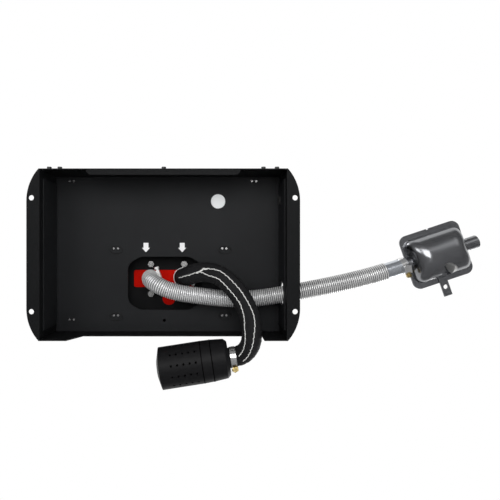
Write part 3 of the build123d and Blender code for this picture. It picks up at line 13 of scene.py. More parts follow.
import bmesh
import bpy
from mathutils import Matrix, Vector


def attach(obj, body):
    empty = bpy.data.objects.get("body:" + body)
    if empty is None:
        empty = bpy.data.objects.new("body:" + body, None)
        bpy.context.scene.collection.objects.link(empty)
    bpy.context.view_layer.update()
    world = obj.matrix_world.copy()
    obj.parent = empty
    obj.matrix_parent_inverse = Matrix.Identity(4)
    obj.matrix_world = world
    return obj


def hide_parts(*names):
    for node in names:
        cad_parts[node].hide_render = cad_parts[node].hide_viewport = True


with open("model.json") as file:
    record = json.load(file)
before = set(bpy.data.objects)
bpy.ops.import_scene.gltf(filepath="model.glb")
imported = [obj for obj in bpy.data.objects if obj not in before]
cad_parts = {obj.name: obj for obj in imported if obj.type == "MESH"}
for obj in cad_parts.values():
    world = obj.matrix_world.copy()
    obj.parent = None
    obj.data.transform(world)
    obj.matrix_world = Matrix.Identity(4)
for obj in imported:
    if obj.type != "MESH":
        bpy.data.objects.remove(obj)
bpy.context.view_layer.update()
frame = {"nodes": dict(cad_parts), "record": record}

mm = 0.001

# %% [markdown]
# ## Sums on sockets
# A material is a small sum done at every point of a surface. Wiring that by hand hides the sum, so
# one class wraps a socket and lets Python's own signs add the Math nodes. A second class holds a
# node tree and makes every other node through a single method.


# %% A socket that takes part in sums
class Signal:
    """The output of a node. Arithmetic on it adds Math nodes to the same tree."""

    def __init__(self, tree, socket):
        self.tree = tree
        self.socket = socket

    def sum(self, operation, first, second):
        return self.tree.node("ShaderNodeMath", {"operation": operation}, {0: first, 1: second})

    def __add__(self, other):
        return self.sum("ADD", self, other)

    def __sub__(self, other):
        return self.sum("SUBTRACT", self, other)

    def __rsub__(self, other):
        return self.sum("SUBTRACT", other, self)

    def __mul__(self, other):
        return self.sum("MULTIPLY", self, other)

    def __gt__(self, other):
        return self.sum("GREATER_THAN", self, other)

    def __lt__(self, other):
        return self.sum("LESS_THAN", self, other)

    __radd__ = __add__
    __rmul__ = __mul__

    def largest(self, other):
        return self.sum("MAXIMUM", self, other)

    def sine(self):
        return self.sum("SINE", self, 0.0)

    def held(self):
        """The same value, held between 0 and 1."""
        return self.tree.node("ShaderNodeClamp", inputs={"Value": self})


# %% A tree of nodes
class Tree:
    """A node tree with one method that makes nodes."""

    def __init__(self, node_tree):
        self.node_tree = node_tree

    def node(self, kind, settings=None, inputs=None, output=0):
        """Settings are the node's own attributes. Inputs are values or links for its sockets."""
        made = self.node_tree.nodes.new(kind)
        for name, value in (settings or {}).items():
            setattr(made, name, value)
        for name, value in (inputs or {}).items():
            self.feed(made.inputs[name], value)
        return Signal(self, made.outputs[output])

    def feed(self, socket, value):
        if isinstance(value, Signal):
            self.node_tree.links.new(value.socket, socket)
        else:
            socket.default_value = value


# %% [markdown]
# ## A finish
# Most finishes here are one Principled shader with one or two fine patterns on it. The patterns
# read Object coordinates, which are metres in the object's own frame, so a grain of 0.8 mm is
# written as a real size and never depends on how a mesh was unwrapped.


# %% A finish on a Principled shader
def rgba(colour):
    """Three numbers get the fourth that Blender wants. The output of a node stays as it is."""
    return colour if isinstance(colour, Signal) else (*colour, 1)


class Finish(Tree):
    """One material. Fixed numbers go straight on the shader's sockets."""

    def __init__(self, name, colour, roughness, metallic=0.0, **fixed):
        self.material = bpy.data.materials.new(name)
        self.material.use_nodes = True
        super().__init__(self.material.node_tree)
        self.shader = self.node_tree.nodes["Principled BSDF"]
        self.paint(colour)
        self.set("Roughness", roughness)
        self.set("Metallic", metallic)
        for socket, value in fixed.items():
            self.set(socket.replace("_", " "), value)

    def set(self, socket, value):
        self.feed(self.shader.inputs[socket], value)

    def paint(self, colour):
        """Feeds Base Color, and keeps the colour so that another can be laid over it."""
        self.colour = colour
        self.set("Base Color", rgba(colour))

    def blend(self, share, first, second):
        """The first colour where the share is 0, the second where it is 1."""
        inputs = {0: share, 6: rgba(first), 7: rgba(second)}
        return self.node("ShaderNodeMix", {"data_type": "RGBA"}, inputs, output=2)

    def cloud(self, share, dark, light):
        """A base colour that wanders between two tones."""
        self.paint(self.blend(share, dark, light))

    def lay_over(self, share, colour):
        """Another colour over the base colour, where the share is 1."""
        self.paint(self.blend(share, self.colour, colour))

    def spot(self):
        return self.node("ShaderNodeTexCoord", output="Object")

    def place(self, stretch=(1, 1, 1)):
        return self.node("ShaderNodeMapping", inputs={"Vector": self.spot(), "Scale": stretch})

    def away_from(self, point):
        """How far the surface is from a point, in metres."""
        ends = {0: self.spot(), 1: point}
        return self.node("ShaderNodeVectorMath", {"operation": "DISTANCE"}, ends, output="Value")

    def grain(self, size, detail=3.0, stretch=(1, 1, 1)):
        """Noise whose blotches are about this size in metres, centred on a half."""
        inputs = {"Vector": self.place(stretch), "Scale": 1 / size, "Detail": detail}
        return self.node("ShaderNodeTexNoise", inputs=inputs)

    def relief(self, height, depth):
        """Bumps from a height between 0 and 1, with the real depth in metres."""
        inputs = {"Height": height, "Strength": 1.0, "Distance": depth}
        self.set("Normal", self.node("ShaderNodeBump", inputs=inputs))


# %% [markdown]
# ## Making meshes
# Every new mesh starts as a bmesh primitive. One helper turns the bmesh into an object with a
# finish. A second makes it a piece of the heater, which rides on the cabinet, and a third is used
# for the stage, where it only makes the object. A piece keeps its sharp edges by angle, which
# suits both pressed steel and moulded plastic.


# %% From bmesh to an object
def from_bmesh(name, bm, finish):
    """An object that stands at the origin, with its place in its mesh."""
    mesh = bpy.data.meshes.new(name)
    bm.to_mesh(mesh)
    bm.free()
    mesh.materials.append(finish.material)
    made = bpy.data.objects.new(name, mesh)
    bpy.context.collection.objects.link(made)
    return made


def piece(name, bm, finish, smooth=40):
    """A piece of the heater. Edges turned by more than the smooth angle, in degrees, stay sharp."""
    made = from_bmesh(name, bm, finish)
    mesh = made.data
    mesh.polygons.foreach_set("use_smooth", [True] * len(mesh.polygons))
    mesh.set_sharp_from_angle(angle=math.radians(smooth))
    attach(made, "cabinet")
    return made


def staged(name, bm, finish):
    """Something round the heater that isn't part of it."""
    made = from_bmesh(name, bm, finish)
    return made


# %% [markdown]
# ## Camera
# The photograph looks straight up at the underside from 660 mm below the feet. The camera's foot
# isn't in the middle of the picture: it is 40 pixels to the left, which a small lens shift gives.

# %% The camera
camera_below = 0.660
camera_foot = (0.0702, -0.0071)
camera_data = bpy.data.cameras.new("camera")
camera_data.lens = 31.68
camera_data.sensor_width = 36.0
camera_data.shift_x = 0.08
camera_data.clip_start = 0.01
camera = bpy.data.objects.new("camera", camera_data)
camera.location = (*camera_foot, -camera_below)
camera.rotation_euler = (math.pi, 0, 0)
bpy.context.collection.objects.link(camera)
bpy.context.scene.camera = camera
bpy.context.scene.view_settings.view_transform = "Standard"
print("camera at", tuple(round(c, 3) for c in camera.location))

# %% [markdown]
# ## Floor
# The heater stands on its feet, but it is photographed from below. So the floor shows only to rays
# from a camera above it, and from below it is clear. It glows a little, and more so further out, so
# it runs into the white of the background and keeps the heater's shadow.

# %% The floor
floor_reach = 6.0
glow_from = 0.8
glow_per_metre = 0.6
pale_floor = Finish("pale_floor", (0.86, 0.86, 0.86), 0.9, Emission_Strength=1.0)
far_share = ((pale_floor.away_from((0, 0, 0)) - glow_from) * glow_per_metre).held()
glow = pale_floor.blend(far_share, (0.32, 0.32, 0.32), (0.62, 0.62, 0.62))
pale_floor.set("Emission Color", glow)
seen_by = pale_floor.node("ShaderNodeLightPath", output="Is Camera Ray")
from_behind = pale_floor.node("ShaderNodeNewGeometry", output="Backfacing")
clear = pale_floor.node("ShaderNodeBsdfTransparent")
solid = Signal(pale_floor, pale_floor.shader.outputs[0])
shown = pale_floor.node(
    "ShaderNodeMixShader", inputs={0: seen_by * (1 - from_behind), 1: clear, 2: solid}
)
pale_floor.feed(pale_floor.node_tree.nodes["Material Output"].inputs["Surface"], shown)
floor_bm = bmesh.new()
bmesh.ops.create_grid(floor_bm, x_segments=1, y_segments=1, size=floor_reach)
staged("floor", floor_bm, pale_floor)
print("floor reaches", floor_reach, "m each way")

# %% [markdown]
# ## Dark card
# A photographer puts dark card round steel when it is shot on white. Faces that look at the camera
# then mirror the card and come out dark, and only the steepest ones mirror the white room. One card
# lies under the floor and one stands around it. They show only in reflections, so the plain light
# doesn't change.

# %% The cards
card_reach = 7.0
card_inside = 0.1
card_middle = 0.2
card_foot = -1.35
card_top = 1.6
card_grey = Finish("card_grey", (0.42, 0.42, 0.43), 1.0, Specular_IOR_Level=0.0)


def card(name, bm, height):
    """A card with its middle at this height, which only reflections show."""
    bmesh.ops.translate(bm, verts=bm.verts, vec=(card_middle, 0.0, height))
    made = staged(name, bm, card_grey)
    made.visible_camera = False
    made.visible_diffuse = False
    made.visible_shadow = False
    made.visible_transmission = False


lying = bmesh.new()
bmesh.ops.create_grid(lying, x_segments=1, y_segments=1, size=card_reach)
card("card_below", lying, card_foot)
standing = bmesh.new()
card_r = card_reach - card_inside
card_height = card_top - card_foot
bmesh.ops.create_cone(
    standing, segments=48, radius1=card_r, radius2=card_r, depth=card_height, cap_ends=False
)
card("card_around", standing, card_top - card_height / 2)
print("cards from", card_foot, "to", card_top, "m")

# %% [markdown]
# ## White room
# The room is an even white. It has full strength for the camera, for gloss and for glass, because
# there it is the background. As plain light it is softer, so that the lamps can shape the heater.

# %% The world
world = bpy.data.worlds.new("studio")
world.use_nodes = True
bpy.context.scene.world = world
sky = Tree(world.node_tree)
ambient = 0.45
ray = "ShaderNodeLightPath"
bright = sky.node(ray, output="Is Camera Ray").largest(sky.node(ray, output="Is Glossy Ray"))
bright = bright.largest(sky.node(ray, output="Is Transmission Ray"))
background = world.node_tree.nodes["Background"]
background.inputs["Color"].default_value = (1, 1, 1, 1)
sky.feed(background.inputs["Strength"], ambient + (1 - ambient) * bright)
print("plain light of the room:", ambient)

# %% [markdown]
# ## Soft boxes
# Four lamps stand below the heater, where the camera is, and two above it. Both groups give about
# as much light as each other, so a colour comes out about as it is written from any side. The one
# on the right is hidden from gloss, because its square would show in the polished steel.


# %% The lamps
def lamp(name, spot, aim, size, level):
    """A square soft box. Level is the share of plain light that it gives at the object."""
    beam = Vector(aim) - Vector(spot)
    data = bpy.data.lights.new(name, "AREA")
    data.size = size
    data.energy = math.pi**2 * beam.length**2 * level
    made = bpy.data.objects.new(name, data)
    made.location = spot
    made.rotation_euler = beam.to_track_quat("-Z", "Y").to_euler()
    bpy.context.collection.objects.link(made)
    return made


lamp("lamp_below_near", (0.10, -0.42, -1.12), (0.08, 0.0, 0.05), 0.75, 0.46)
right = lamp("lamp_below_right", (0.95, 0.40, -0.85), (0.15, 0.0, 0.05), 0.8, 0.20)
right.visible_glossy = False
lamp("lamp_below_left", (-0.80, -0.50, -0.90), (0.05, 0.0, 0.05), 0.5, 0.16)
lamp("lamp_strip", (0.95, -0.85, -0.85), (0.40, 0.0, 0.05), 0.55, 0.03)
lamp("lamp_above_left", (-1.0, -1.1, 1.5), (0.0, 0.0, 0.15), 0.9, 0.42)
lamp("lamp_above_right", (1.2, 0.8, 1.4), (0.0, 0.0, 0.15), 0.7, 0.25)
print("lamps:", len(bpy.data.lights))

# %% [markdown]
# ## Following a route
# A hose is a straight tube that is laid along a curve. Its route is a NURBS spline, which is drawn
# towards a few control points and rounds them smoothly, and the spline's own evaluated points give
# the hose's middle line. A frame is carried along that line with the least turning, so the tube
# never twists.


# %% The route of a hose
def route(name, points):
    """The evaluated points of a smooth spline whose control points are given in millimetres."""
    curve = bpy.data.curves.new(name, "CURVE")
    curve.dimensions = "3D"
    curve.resolution_u = 24
    spline = curve.splines.new("NURBS")
    spline.points.add(len(points) - 1)
    for control, point in zip(spline.points, points):
        control.co = (*[c * mm for c in point], 1)
    spline.order_u = 3
    spline.use_endpoint_u = True
    holder = bpy.data.objects.new(name, curve)
    bpy.context.collection.objects.link(holder)
    bpy.context.view_layer.update()
    line = bpy.data.meshes.new_from_object(holder)
    found = [v.co.copy() for v in line.vertices]
    bpy.data.meshes.remove(line)
    bpy.data.objects.remove(holder)
    bpy.data.curves.remove(curve)
    return found


# %% A line with a frame at every point
class Line:
    """A middle line with distances along it. Its side faces the camera below at one distance."""

    def __init__(self, points, facing_at):
        self.points = points
        self.far = [0.0]
        for before, after in zip(points, points[1:]):
            self.far.append(self.far[-1] + (after - before).length)
        self.length = self.far[-1]
        self.along = []
        for i in range(len(points)):
            ahead = points[min(i + 1, len(points) - 1)] - points[max(i - 1, 0)]
            self.along.append(ahead.normalized())
        start = min(bisect_right(self.far, facing_at), len(points) - 1)
        self.side = [None] * len(points)
        for steps in (range(start, len(points)), range(start, -1, -1)):
            carried = Vector((0, 0, -1))
            for i in steps:
                carried = (carried - self.along[i] * carried.dot(self.along[i])).normalized()
                self.side[i] = carried

    def at(self, distance):
        """The point, the direction, the facing side and the other side, so far along."""
        i = min(max(bisect_right(self.far, distance) - 1, 0), len(self.points) - 2)
        share = (distance - self.far[i]) / (self.far[i + 1] - self.far[i])
        spot = self.points[i].lerp(self.points[i + 1], share)
        along = self.along[i].lerp(self.along[i + 1], share).normalized()
        side = self.side[i].lerp(self.side[i + 1], share)
        side = (side - along * side.dot(along)).normalized()
        return spot, along, side, along.cross(side)

    def place(self, distance, angle, radius):
        spot, _, side, other = self.at(distance)
        return spot + (side * math.cos(angle) + other * math.sin(angle)) * radius


# %% [markdown]
# ## Rolling a tube
# A tube with ribs could be turned from a profile and then bent, but a flat grid is simpler: its
# rows are the rings, its columns run along the hose, and it is rolled up and laid on the route in
# one move of its points. The same grid gives the UV map, in metres along and in turns around.

# %% A tube laid on a route
weld = 0.001 * mm


def rolled(line, start, end, rings, around, radius_at):
    """A bmesh tube on the line. radius_at(distance, angle) gives the radius in metres."""
    bm = bmesh.new()
    bmesh.ops.create_grid(bm, x_segments=rings, y_segments=around, size=0.5)
    uv = bm.loops.layers.uv.new("UVMap")
    for face in bm.faces:
        for loop in face.loops:
            reach = loop.vert.co.x + 0.5
            loop[uv].uv = (start + reach * (end - start), loop.vert.co.y + 0.5)
    for vert in bm.verts:
        distance = start + (vert.co.x + 0.5) * (end - start)
        angle = (vert.co.y + 0.5) * math.tau
        vert.co = line.place(distance, angle, radius_at(distance, angle))
    bmesh.ops.remove_doubles(bm, verts=bm.verts, dist=weld)
    bmesh.ops.recalc_face_normals(bm, faces=bm.faces)
    return bm


def close_end(bm, line, distance, inner):
    """Turns the open end of a tube inwards, so that its wall shows its thickness."""
    spot, along, _, _ = line.at(distance)
    near = 0.6 * mm
    open_edges = [edge for edge in bm.edges if edge.is_boundary]
    ends = [edge for edge in open_edges if abs((edge.verts[0].co - spot).dot(along)) < near]
    made = bmesh.ops.extrude_edge_only(bm, edges=ends)
    for vert in [g for g in made["geom"] if isinstance(g, bmesh.types.BMVert)]:
        out = vert.co - spot
        vert.co = spot + (out - along * out.dot(along)).normalized() * inner


# %% [markdown]
# ## Exhaust hose
# The real hose is a strip of foil crimped into fine rings, 3.1 mm apart, with a smooth cuff at the
# silencer. Its rings show as sharp glints, so they are real geometry here and not a bump map. The
# route repeats the one of the CAD tube, point for point.

# %% The exhaust hose's route
port_gap = 56.7
port_middle = -3.2
port_y = 39.5
muffler_at = Vector((426.3, 0.5, 34.2))
muffler_turn = math.radians(-18.4)
muffler_along = Vector((math.cos(muffler_turn), math.sin(muffler_turn), 0))
muffler_to_hose = 49.5
cuff_run = 46.0
exhaust_end = muffler_at - muffler_along * muffler_to_hose
exhaust_points = [
    (port_middle - port_gap / 2, port_y, 103.0),
    (port_middle - port_gap / 2, port_y, 65.0),
    (-16.0, 49.0, 46.5),
    (12.0, 60.5, 45.0),
    (51.0, 66.5, 48.0),
    (96.0, 72.0, 51.0),
    (142.0, 71.5, 48.5),
    (190.0, 63.0, 42.0),
    (238.0, 53.5, 38.5),
    (285.0, 43.5, 36.0),
    tuple(exhaust_end - muffler_along * cuff_run),
    tuple(exhaust_end),
]
exhaust_line = Line(route("exhaust_route", exhaust_points), facing_at=0.2)
rib_pitch = 3.1 * mm
crest_r = 13.6 * mm
valley_r = 12.3 * mm
cuff_len = 34.0 * mm
plain_len = 12.0 * mm
ribbed_end = exhaust_line.length - cuff_len
rib_count = round((ribbed_end - plain_len) / rib_pitch)
print("exhaust hose", round(exhaust_line.length, 4), "m,", rib_count, "rings")

# %% [markdown]
# The foil is painted bright on the crest of each ring, a painted highlight, and dark in the valleys
# between them, a painted shade. The UV map runs in metres along the hose, so a sine of the same
# pitch as the rings finds the valleys. Both tones are darker on the part beyond the cabinet's side.
# The cuff is smooth and a little bluer, because it has been drawn over the pipe.

# %% The foil
darker_from = 0.20
darker_per_metre = 14
foil = Finish("crimped_foil", (0.68, 0.69, 0.70), 0.3, 0.6)
along_hose = foil.node("ShaderNodeSeparateXYZ", inputs={"Vector": foil.node("ShaderNodeUVMap")})
ring_turn = (along_hose - plain_len) * (math.tau * rib_count / (ribbed_end - plain_len))
crest_highlight_share = (ring_turn - math.pi / 2).sine() * 0.5 + 0.5
on_cuff = (along_hose > ribbed_end).largest(along_hose < plain_len)
# Past 0.20 m along the hose both tones are darker. The valley tone is a painted shade and the crest
# tone a painted highlight.
past_side_share = ((along_hose - darker_from) * darker_per_metre).held()
valley_shade_tone = foil.blend(past_side_share, (0.27, 0.275, 0.285), (0.12, 0.122, 0.13))
crest_highlight_tone = foil.blend(past_side_share, (1.0, 1.0, 1.0), (0.76, 0.76, 0.75))
crumple = foil.grain(7 * mm)
foil.cloud(crest_highlight_share * (0.45 + 1.1 * crumple), valley_shade_tone, crest_highlight_tone)
foil.lay_over(on_cuff, (0.60, 0.63, 0.67))
crease = foil.grain(6 * mm, detail=2.0)
foil.set("Roughness", 0.27 + 0.08 * crease - 0.10 * on_cuff)
foil.set("Metallic", 0.45 + 0.45 * on_cuff)
print("nodes in the foil:", len(foil.node_tree.nodes))

# %% [markdown]
# The rings themselves are sharp: a crest is rounder than a valley, so the wave is raised to a
# power. Past the cabinet the hose has been pulled out a little and its rings are shallower. No ring
# stands quite square to the hose, because it has been bent by hand. Waves are in radians a metre.

# %% The rings
crest_power = 0.7
ring_lean = 0.07
lean_waves = 90
drawn_from = 0.24
drawn_change = 30
drawn_low = 0.55
drawn_rise = 0.35
hose_sides = 44
steps_per_rib = 8
exhaust_bore = 11.45 * mm


def crimp(distance, angle):
    """The hose's radius: rings between the plain start and the smooth cuff."""
    if distance < plain_len or distance > ribbed_end:
        return valley_r
    turn = (distance - plain_len) / (ribbed_end - plain_len) * rib_count
    turn += ring_lean * math.sin(angle + distance * lean_waves)
    ridge = (0.5 - 0.5 * math.cos(turn * math.tau)) ** crest_power
    drawn_out = 0.5 + 0.5 * math.tanh((distance - drawn_from) * drawn_change)
    height = ridge + drawn_out * (drawn_low + drawn_rise * ridge - ridge)
    return valley_r + (crest_r - valley_r) * height


rings = round(exhaust_line.length / rib_pitch * steps_per_rib)
exhaust_bm = rolled(exhaust_line, 0.0, exhaust_line.length, rings, hose_sides, crimp)
close_end(exhaust_bm, exhaust_line, 0.0, exhaust_bore)
close_end(exhaust_bm, exhaust_line, exhaust_line.length, exhaust_bore)
exhaust_hose = piece("exhaust_hose_crimped", exhaust_bm, foil, smooth=60)
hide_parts("exhaust_hose")
print("triangles of the rings:", 2 * rings * hose_sides)

# %% [markdown]
# ## Intake hose
# This one is a card hose in a black padded sleeve, woven from thread with a fuzz on it. The weave
# could be a picture, but a checker on the UV map, with squares of just under a millimetre, gives
# the same look at any size. It is dull, because cloth hardly mirrors.

# %% The sleeve's cloth
threads_per_metre = 1200
threads_round = 110
cloth = Finish("padded_sleeve", (0.016, 0.016, 0.017), 0.7, Specular_IOR_Level=0.15)
thread_map = cloth.node("ShaderNodeUVMap")
thread_scale = (threads_per_metre, threads_round, 1)
threads = cloth.node("ShaderNodeMapping", inputs={"Vector": thread_map, "Scale": thread_scale})
weave = cloth.node("ShaderNodeTexChecker", inputs={"Vector": threads, "Scale": 1.0}, output="Fac")
fuzz = cloth.grain(1.2 * mm, detail=4.0)
cloth.cloud(fuzz, (0.006, 0.006, 0.007), (0.022, 0.022, 0.023))
cloth.relief(weave * 0.5 + fuzz, 0.4 * mm)
print("threads:", threads_per_metre, "a metre,", threads_round, "round")

# %% [markdown]
# The hose drops from its port to the floor, leaves under the raised middle of the rear skirt and
# rises to the neck of its silencer. Its route also repeats the points of the CAD tube. The silencer
# lies with a slight fall, so its direction has a small part along Z.

# %% The intake hose's route
silencer_turn = math.radians(171.5)
silencer_fall = math.radians(1.5)
silencer_along = Vector(
    (
        math.cos(silencer_turn) * math.cos(silencer_fall),
        math.sin(silencer_turn) * math.cos(silencer_fall),
        -math.sin(silencer_fall),
    )
)
silencer_at = Vector((99.5, 163.6, 36.6))
neck_gap = 0.5
neck_run = 17.0
neck_end = silencer_at - silencer_along * neck_gap
intake_points = [
    (port_middle + port_gap / 2, port_y, 103.0),
    (port_middle + port_gap / 2, port_y, 66.0),
    (51.5, 27.5, 42.5),
    (82.0, 29.0, 26.0),
    (107.5, 50.0, 16.4),
    (122.5, 73.0, 16.3),
    (132.3, 97.0, 16.3),
    (135.0, 118.0, 16.3),
    (134.0, 136.5, 19.5),
    (127.5, 152.0, 30.5),
    tuple(neck_end - silencer_along * neck_run),
    tuple(neck_end),
]
intake_line = Line(route("intake_route", intake_points), facing_at=0.14)
print("intake hose", round(intake_line.length, 4), "m")

# %% [markdown]
# A flap closes the sleeve along its length and stands a little proud. Between its edges the cloth
# is taut, and elsewhere it puckers in short folds. The folds are deep enough to show in the
# outline, so they are in the mesh, as a few sines that don't share a wavelength.

# %% The sleeve
sleeve_r = 15.6 * mm
fold_depth = 0.22 * mm
fold_waves = 760
gather_waves = 61
crease_waves = 1310
crease_share = 0.6
under_flap = 0.7
flap_proud = 0.3 * mm
flap_left = math.radians(25)
flap_right = math.radians(20)
flap_edge = 18
sleeve_rings = 520
sleeve_sides = 80
intake_bore = 12.3 * mm


def pucker(distance, angle):
    """The sleeve's radius: soft folds across it, and the flap along it."""
    folds = math.sin(distance * fold_waves + math.sin(angle * 2) * 1.5)
    folds *= math.sin(distance * gather_waves + 1.0)
    folds += crease_share * math.sin(distance * crease_waves + angle * 3.0)
    turned = (angle + math.pi) % math.tau - math.pi
    flap = 0.5 - 0.5 * math.tanh((turned - flap_left) * flap_edge)
    flap *= 0.5 + 0.5 * math.tanh((turned + flap_right) * flap_edge)
    return sleeve_r + fold_depth * folds * (1 - under_flap * flap) + flap_proud * flap


intake_bm = rolled(intake_line, 0.0, intake_line.length, sleeve_rings, sleeve_sides, pucker)
close_end(intake_bm, intake_line, 0.0, intake_bore)
close_end(intake_bm, intake_line, intake_line.length, intake_bore)
intake_hose = piece("intake_hose_sleeve", intake_bm, cloth)
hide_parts("intake_hose")
print("triangles of the sleeve:", 2 * sleeve_rings * sleeve_sides)

# %% [markdown]
# ## White piping
# Two thin white cords are sewn along the flap's edges. They are what the eye follows in the
# photograph, so they are real cords and not a stripe in the colour. They start near the port, where
# the flap's end is tucked in, and part a little further on. The real ones kink where the sleeve
# folds, so each follows a table of places: the distance along the hose in millimetres, and the
# angle in degrees from the line that faces the camera.

# %% Where the cords run
outer_table = [(44, 19.5), (64, 24.5), (82, 14), (88, -4), (111, -22), (134, -19), (159, -20)]
outer_table += [(186, -23), (200, -16), (214, -6), (234, 0), (258, 0)]
inner_table = [(84, 14), (98, 28), (115, 20), (139, 26), (163, 21), (184, 32), (202, 46)]
inner_table += [(222, 44), (240, 40), (258, 38)]


def between(table, reach):
    """The angle at this distance, straight between the table's places."""
    for (far, angle), (farther, next_angle) in zip(table, table[1:]):
        if reach <= farther:
            return angle + (next_angle - angle) * (reach - far) / (farther - far)
    return table[-1][1]


print("places of the cords:", len(outer_table), "and", len(inner_table))

# %% [markdown]
# Up close a cord is a soft thread, 1.2 mm thick, with fibres that stand out, and twice that where
# the outer one is frayed. A small wobble keeps it from looking drawn with a ruler. Where the hose
# rests on the floor, the cords are pressed into the sleeve.

# %% The cords
cord_r, cord_fibres = 0.62, 0.2
frayed_r, frayed_fibres = 1.25, 0.45
above_sleeve = 0.2 * mm
above_floor = 0.9 * mm
fibre_waves = (2300, 3100)
wobble = math.radians(2.6)
wobble_waves = (1.3 / mm, 0.41 / mm)
cord_steps = 240
cord_rings = 400
cord_sides = 10

piping = Finish("white_piping", (0.80, 0.80, 0.78), 0.6)
twist = piping.grain(0.9 * mm, detail=2.0)
piping.cloud(twist, (0.62, 0.62, 0.60), (0.86, 0.86, 0.84))
piping.relief(twist, 0.2 * mm)


def fuzzy(frayed):
    """The radius of a cord that is frayed between two distances, given in millimetres."""

    def radius(distance, turn):
        fibres = math.sin(distance * fibre_waves[0] + 2 * turn)
        fibres *= math.sin(distance * fibre_waves[1] - turn)
        if frayed[0] < distance / mm < frayed[1]:
            return (frayed_r + frayed_fibres * fibres) * mm
        return (cord_r + cord_fibres * fibres) * mm

    return radius


def sewn_line(table):
    """The middle line of a cord on the sleeve."""
    first, last = table[0][0], table[-1][0]
    spots = []
    for i in range(cord_steps + 1):
        reach = first + (last - first) * i / cord_steps
        distance = reach * mm
        angle = math.radians(between(table, reach))
        wander = math.sin(distance * wobble_waves[0]) * math.sin(distance * wobble_waves[1])
        angle += wobble * wander
        radius = pucker(distance, angle) + above_sleeve
        spot = intake_line.place(distance, angle, radius)
        spot.z = max(spot.z, above_floor)
        spots.append(spot)
    return Line(spots, facing_at=0.1)


for name, table, frayed in (("outer", outer_table, (43, 66)), ("inner", inner_table, (0, 0))):
    cord_line = sewn_line(table)
    cord_bm = rolled(cord_line, 0.0, cord_line.length, cord_rings, cord_sides, fuzzy(frayed))
    piece(f"piping_{name}", cord_bm, piping)
    print(f"piping_{name}", round(cord_line.length, 4), "m")

# %% [markdown]
# ## Powder coat
# The CAD pieces keep their shapes and get a finish each. The cabinet's black powder coat has a fine
# orange peel that scatters the light, so its grain is the size of the real one, under a
# millimetre, and very shallow. The pan is a little paler and glossier than the rest. The rings
# that are pressed into it are painted much darker, a painted shade, and have more gloss, so that
# they show as thin glints.

# %% The powder coats
peel_size = 0.9 * mm
peel_depth = 0.05 * mm
cloud_size = 90 * mm


def powder_coat(name, dark, light, gloss):
    """A black powder coat. Dark and light are the two ends of its faint clouding."""
    made = Finish(name, light, 0.5, Specular_IOR_Level=gloss)
    peel = made.grain(peel_size, detail=2.0)
    made.cloud(made.grain(cloud_size), dark, light)
    made.set("Roughness", 0.42 + 0.18 * peel)
    made.relief(peel, peel_depth)
    return made


coat = powder_coat("powder_coat", (0.0075, 0.0078, 0.0083), (0.0100, 0.0104, 0.0110), 0.07)
pan_coat = powder_coat("pan_coat", (0.0115, 0.0121, 0.0132), (0.0170, 0.0178, 0.0192), 0.12)
# The pressed rings' coat is far darker than the pan's, a painted shade.
ring_shade_coat = powder_coat("pressed_ring_shade", (0.0020, 0.0020, 0.0022), (0.0035, 0.0036, 0.0038), 0.3)
print("peel:", peel_size, "m, clouding:", cloud_size, "m")

# %% [markdown]
# ## Zinc and oxide
# Nuts, rivets and clamps are zinc on steel. Zinc grows in a spangle, so one function clouds it
# between a dark and a light tone and makes it uneven in gloss. The nuts and rivets get a darker
# copy of it, a painted shade. The clamps at the ports get a pale, milky copy with less metal, a
# painted highlight. The other two clamps get a brighter, glossier copy, whose bright bands are
# part painted highlight and part real gloss.
# The cabinet's screws are blackened instead, with a film of oil.

# %% Zinc plate
spangle_size = 2.5 * mm


def zinc_plate(name, dark, light, polish):
    """Zinc whose spangle goes from a dark grey to a light one. Polish is its lowest roughness."""
    made = Finish(name, (light, light, light), 0.3, 0.9)
    spangle = made.grain(spangle_size)
    made.set("Roughness", polish + 0.2 * spangle)
    made.cloud(spangle, (dark, dark, dark), (light, light, 0.98 * light))
    made.relief(spangle, 0.05 * mm)
    return made


zinc = zinc_plate("bright_zinc", 0.58, 0.86, 0.2)
# Nuts and rivets: a darker copy of the zinc, a painted shade.
shaded_nut_zinc = zinc_plate("shaded_nut_zinc", 0.22, 0.50, 0.14)
# Muffler and silencer clamps: a brighter, glossier copy, part painted highlight.
lit_band_zinc = zinc_plate("lit_band_zinc", 0.62, 0.94, 0.06)
# Port clamps: a paler copy with less metal, a painted highlight.
lit_port_zinc = zinc_plate("lit_port_zinc", 0.85, 0.98, 0.2)
lit_port_zinc.set("Metallic", 0.4)

oxide = Finish("black_oxide", (0.018, 0.018, 0.019), 0.34)
oil = oxide.grain(1.5 * mm, detail=2.0)
oxide.set("Roughness", 0.26 + 0.2 * oil)
print("spangle:", spangle_size, "m")

# %% [markdown]
# The two clamps that lie in the open have a yellow passivated screw, and the band beside it is
# bright. Band and screw are one piece in the CAD, so the screw's head is found by its distance from
# a point.

# %% Yellow screws
head_above_band = 3.4
head_beside = 10.0
head_reach = 6.5 * mm


def screw_head(end, along, outwards, radius, past_end):
    """The middle of a screw head, for a clamp whose band lies this far before the hose's end."""
    out = (outwards - along * along.dot(outwards)).normalized()
    over = out * (radius + head_above_band)
    return (end - along * past_end + over + along.cross(out) * head_beside) * mm


muffler_screw = screw_head(exhaust_end, muffler_along, Vector((0.1, 0.3, -0.95)), 12.3, 6.7)
silencer_screw = screw_head(neck_end, silencer_along, Vector((0.07, 0.97, -0.2)), 16.0, 7.5)
on_muffler_screw = lit_band_zinc.away_from(muffler_screw) < head_reach
on_silencer_screw = lit_band_zinc.away_from(silencer_screw) < head_reach
lit_band_zinc.lay_over(on_muffler_screw + on_silencer_screw, (0.56, 0.44, 0.19))
for head in (muffler_screw, silencer_screw):
    print("screw head at", tuple(round(c, 4) for c in head))
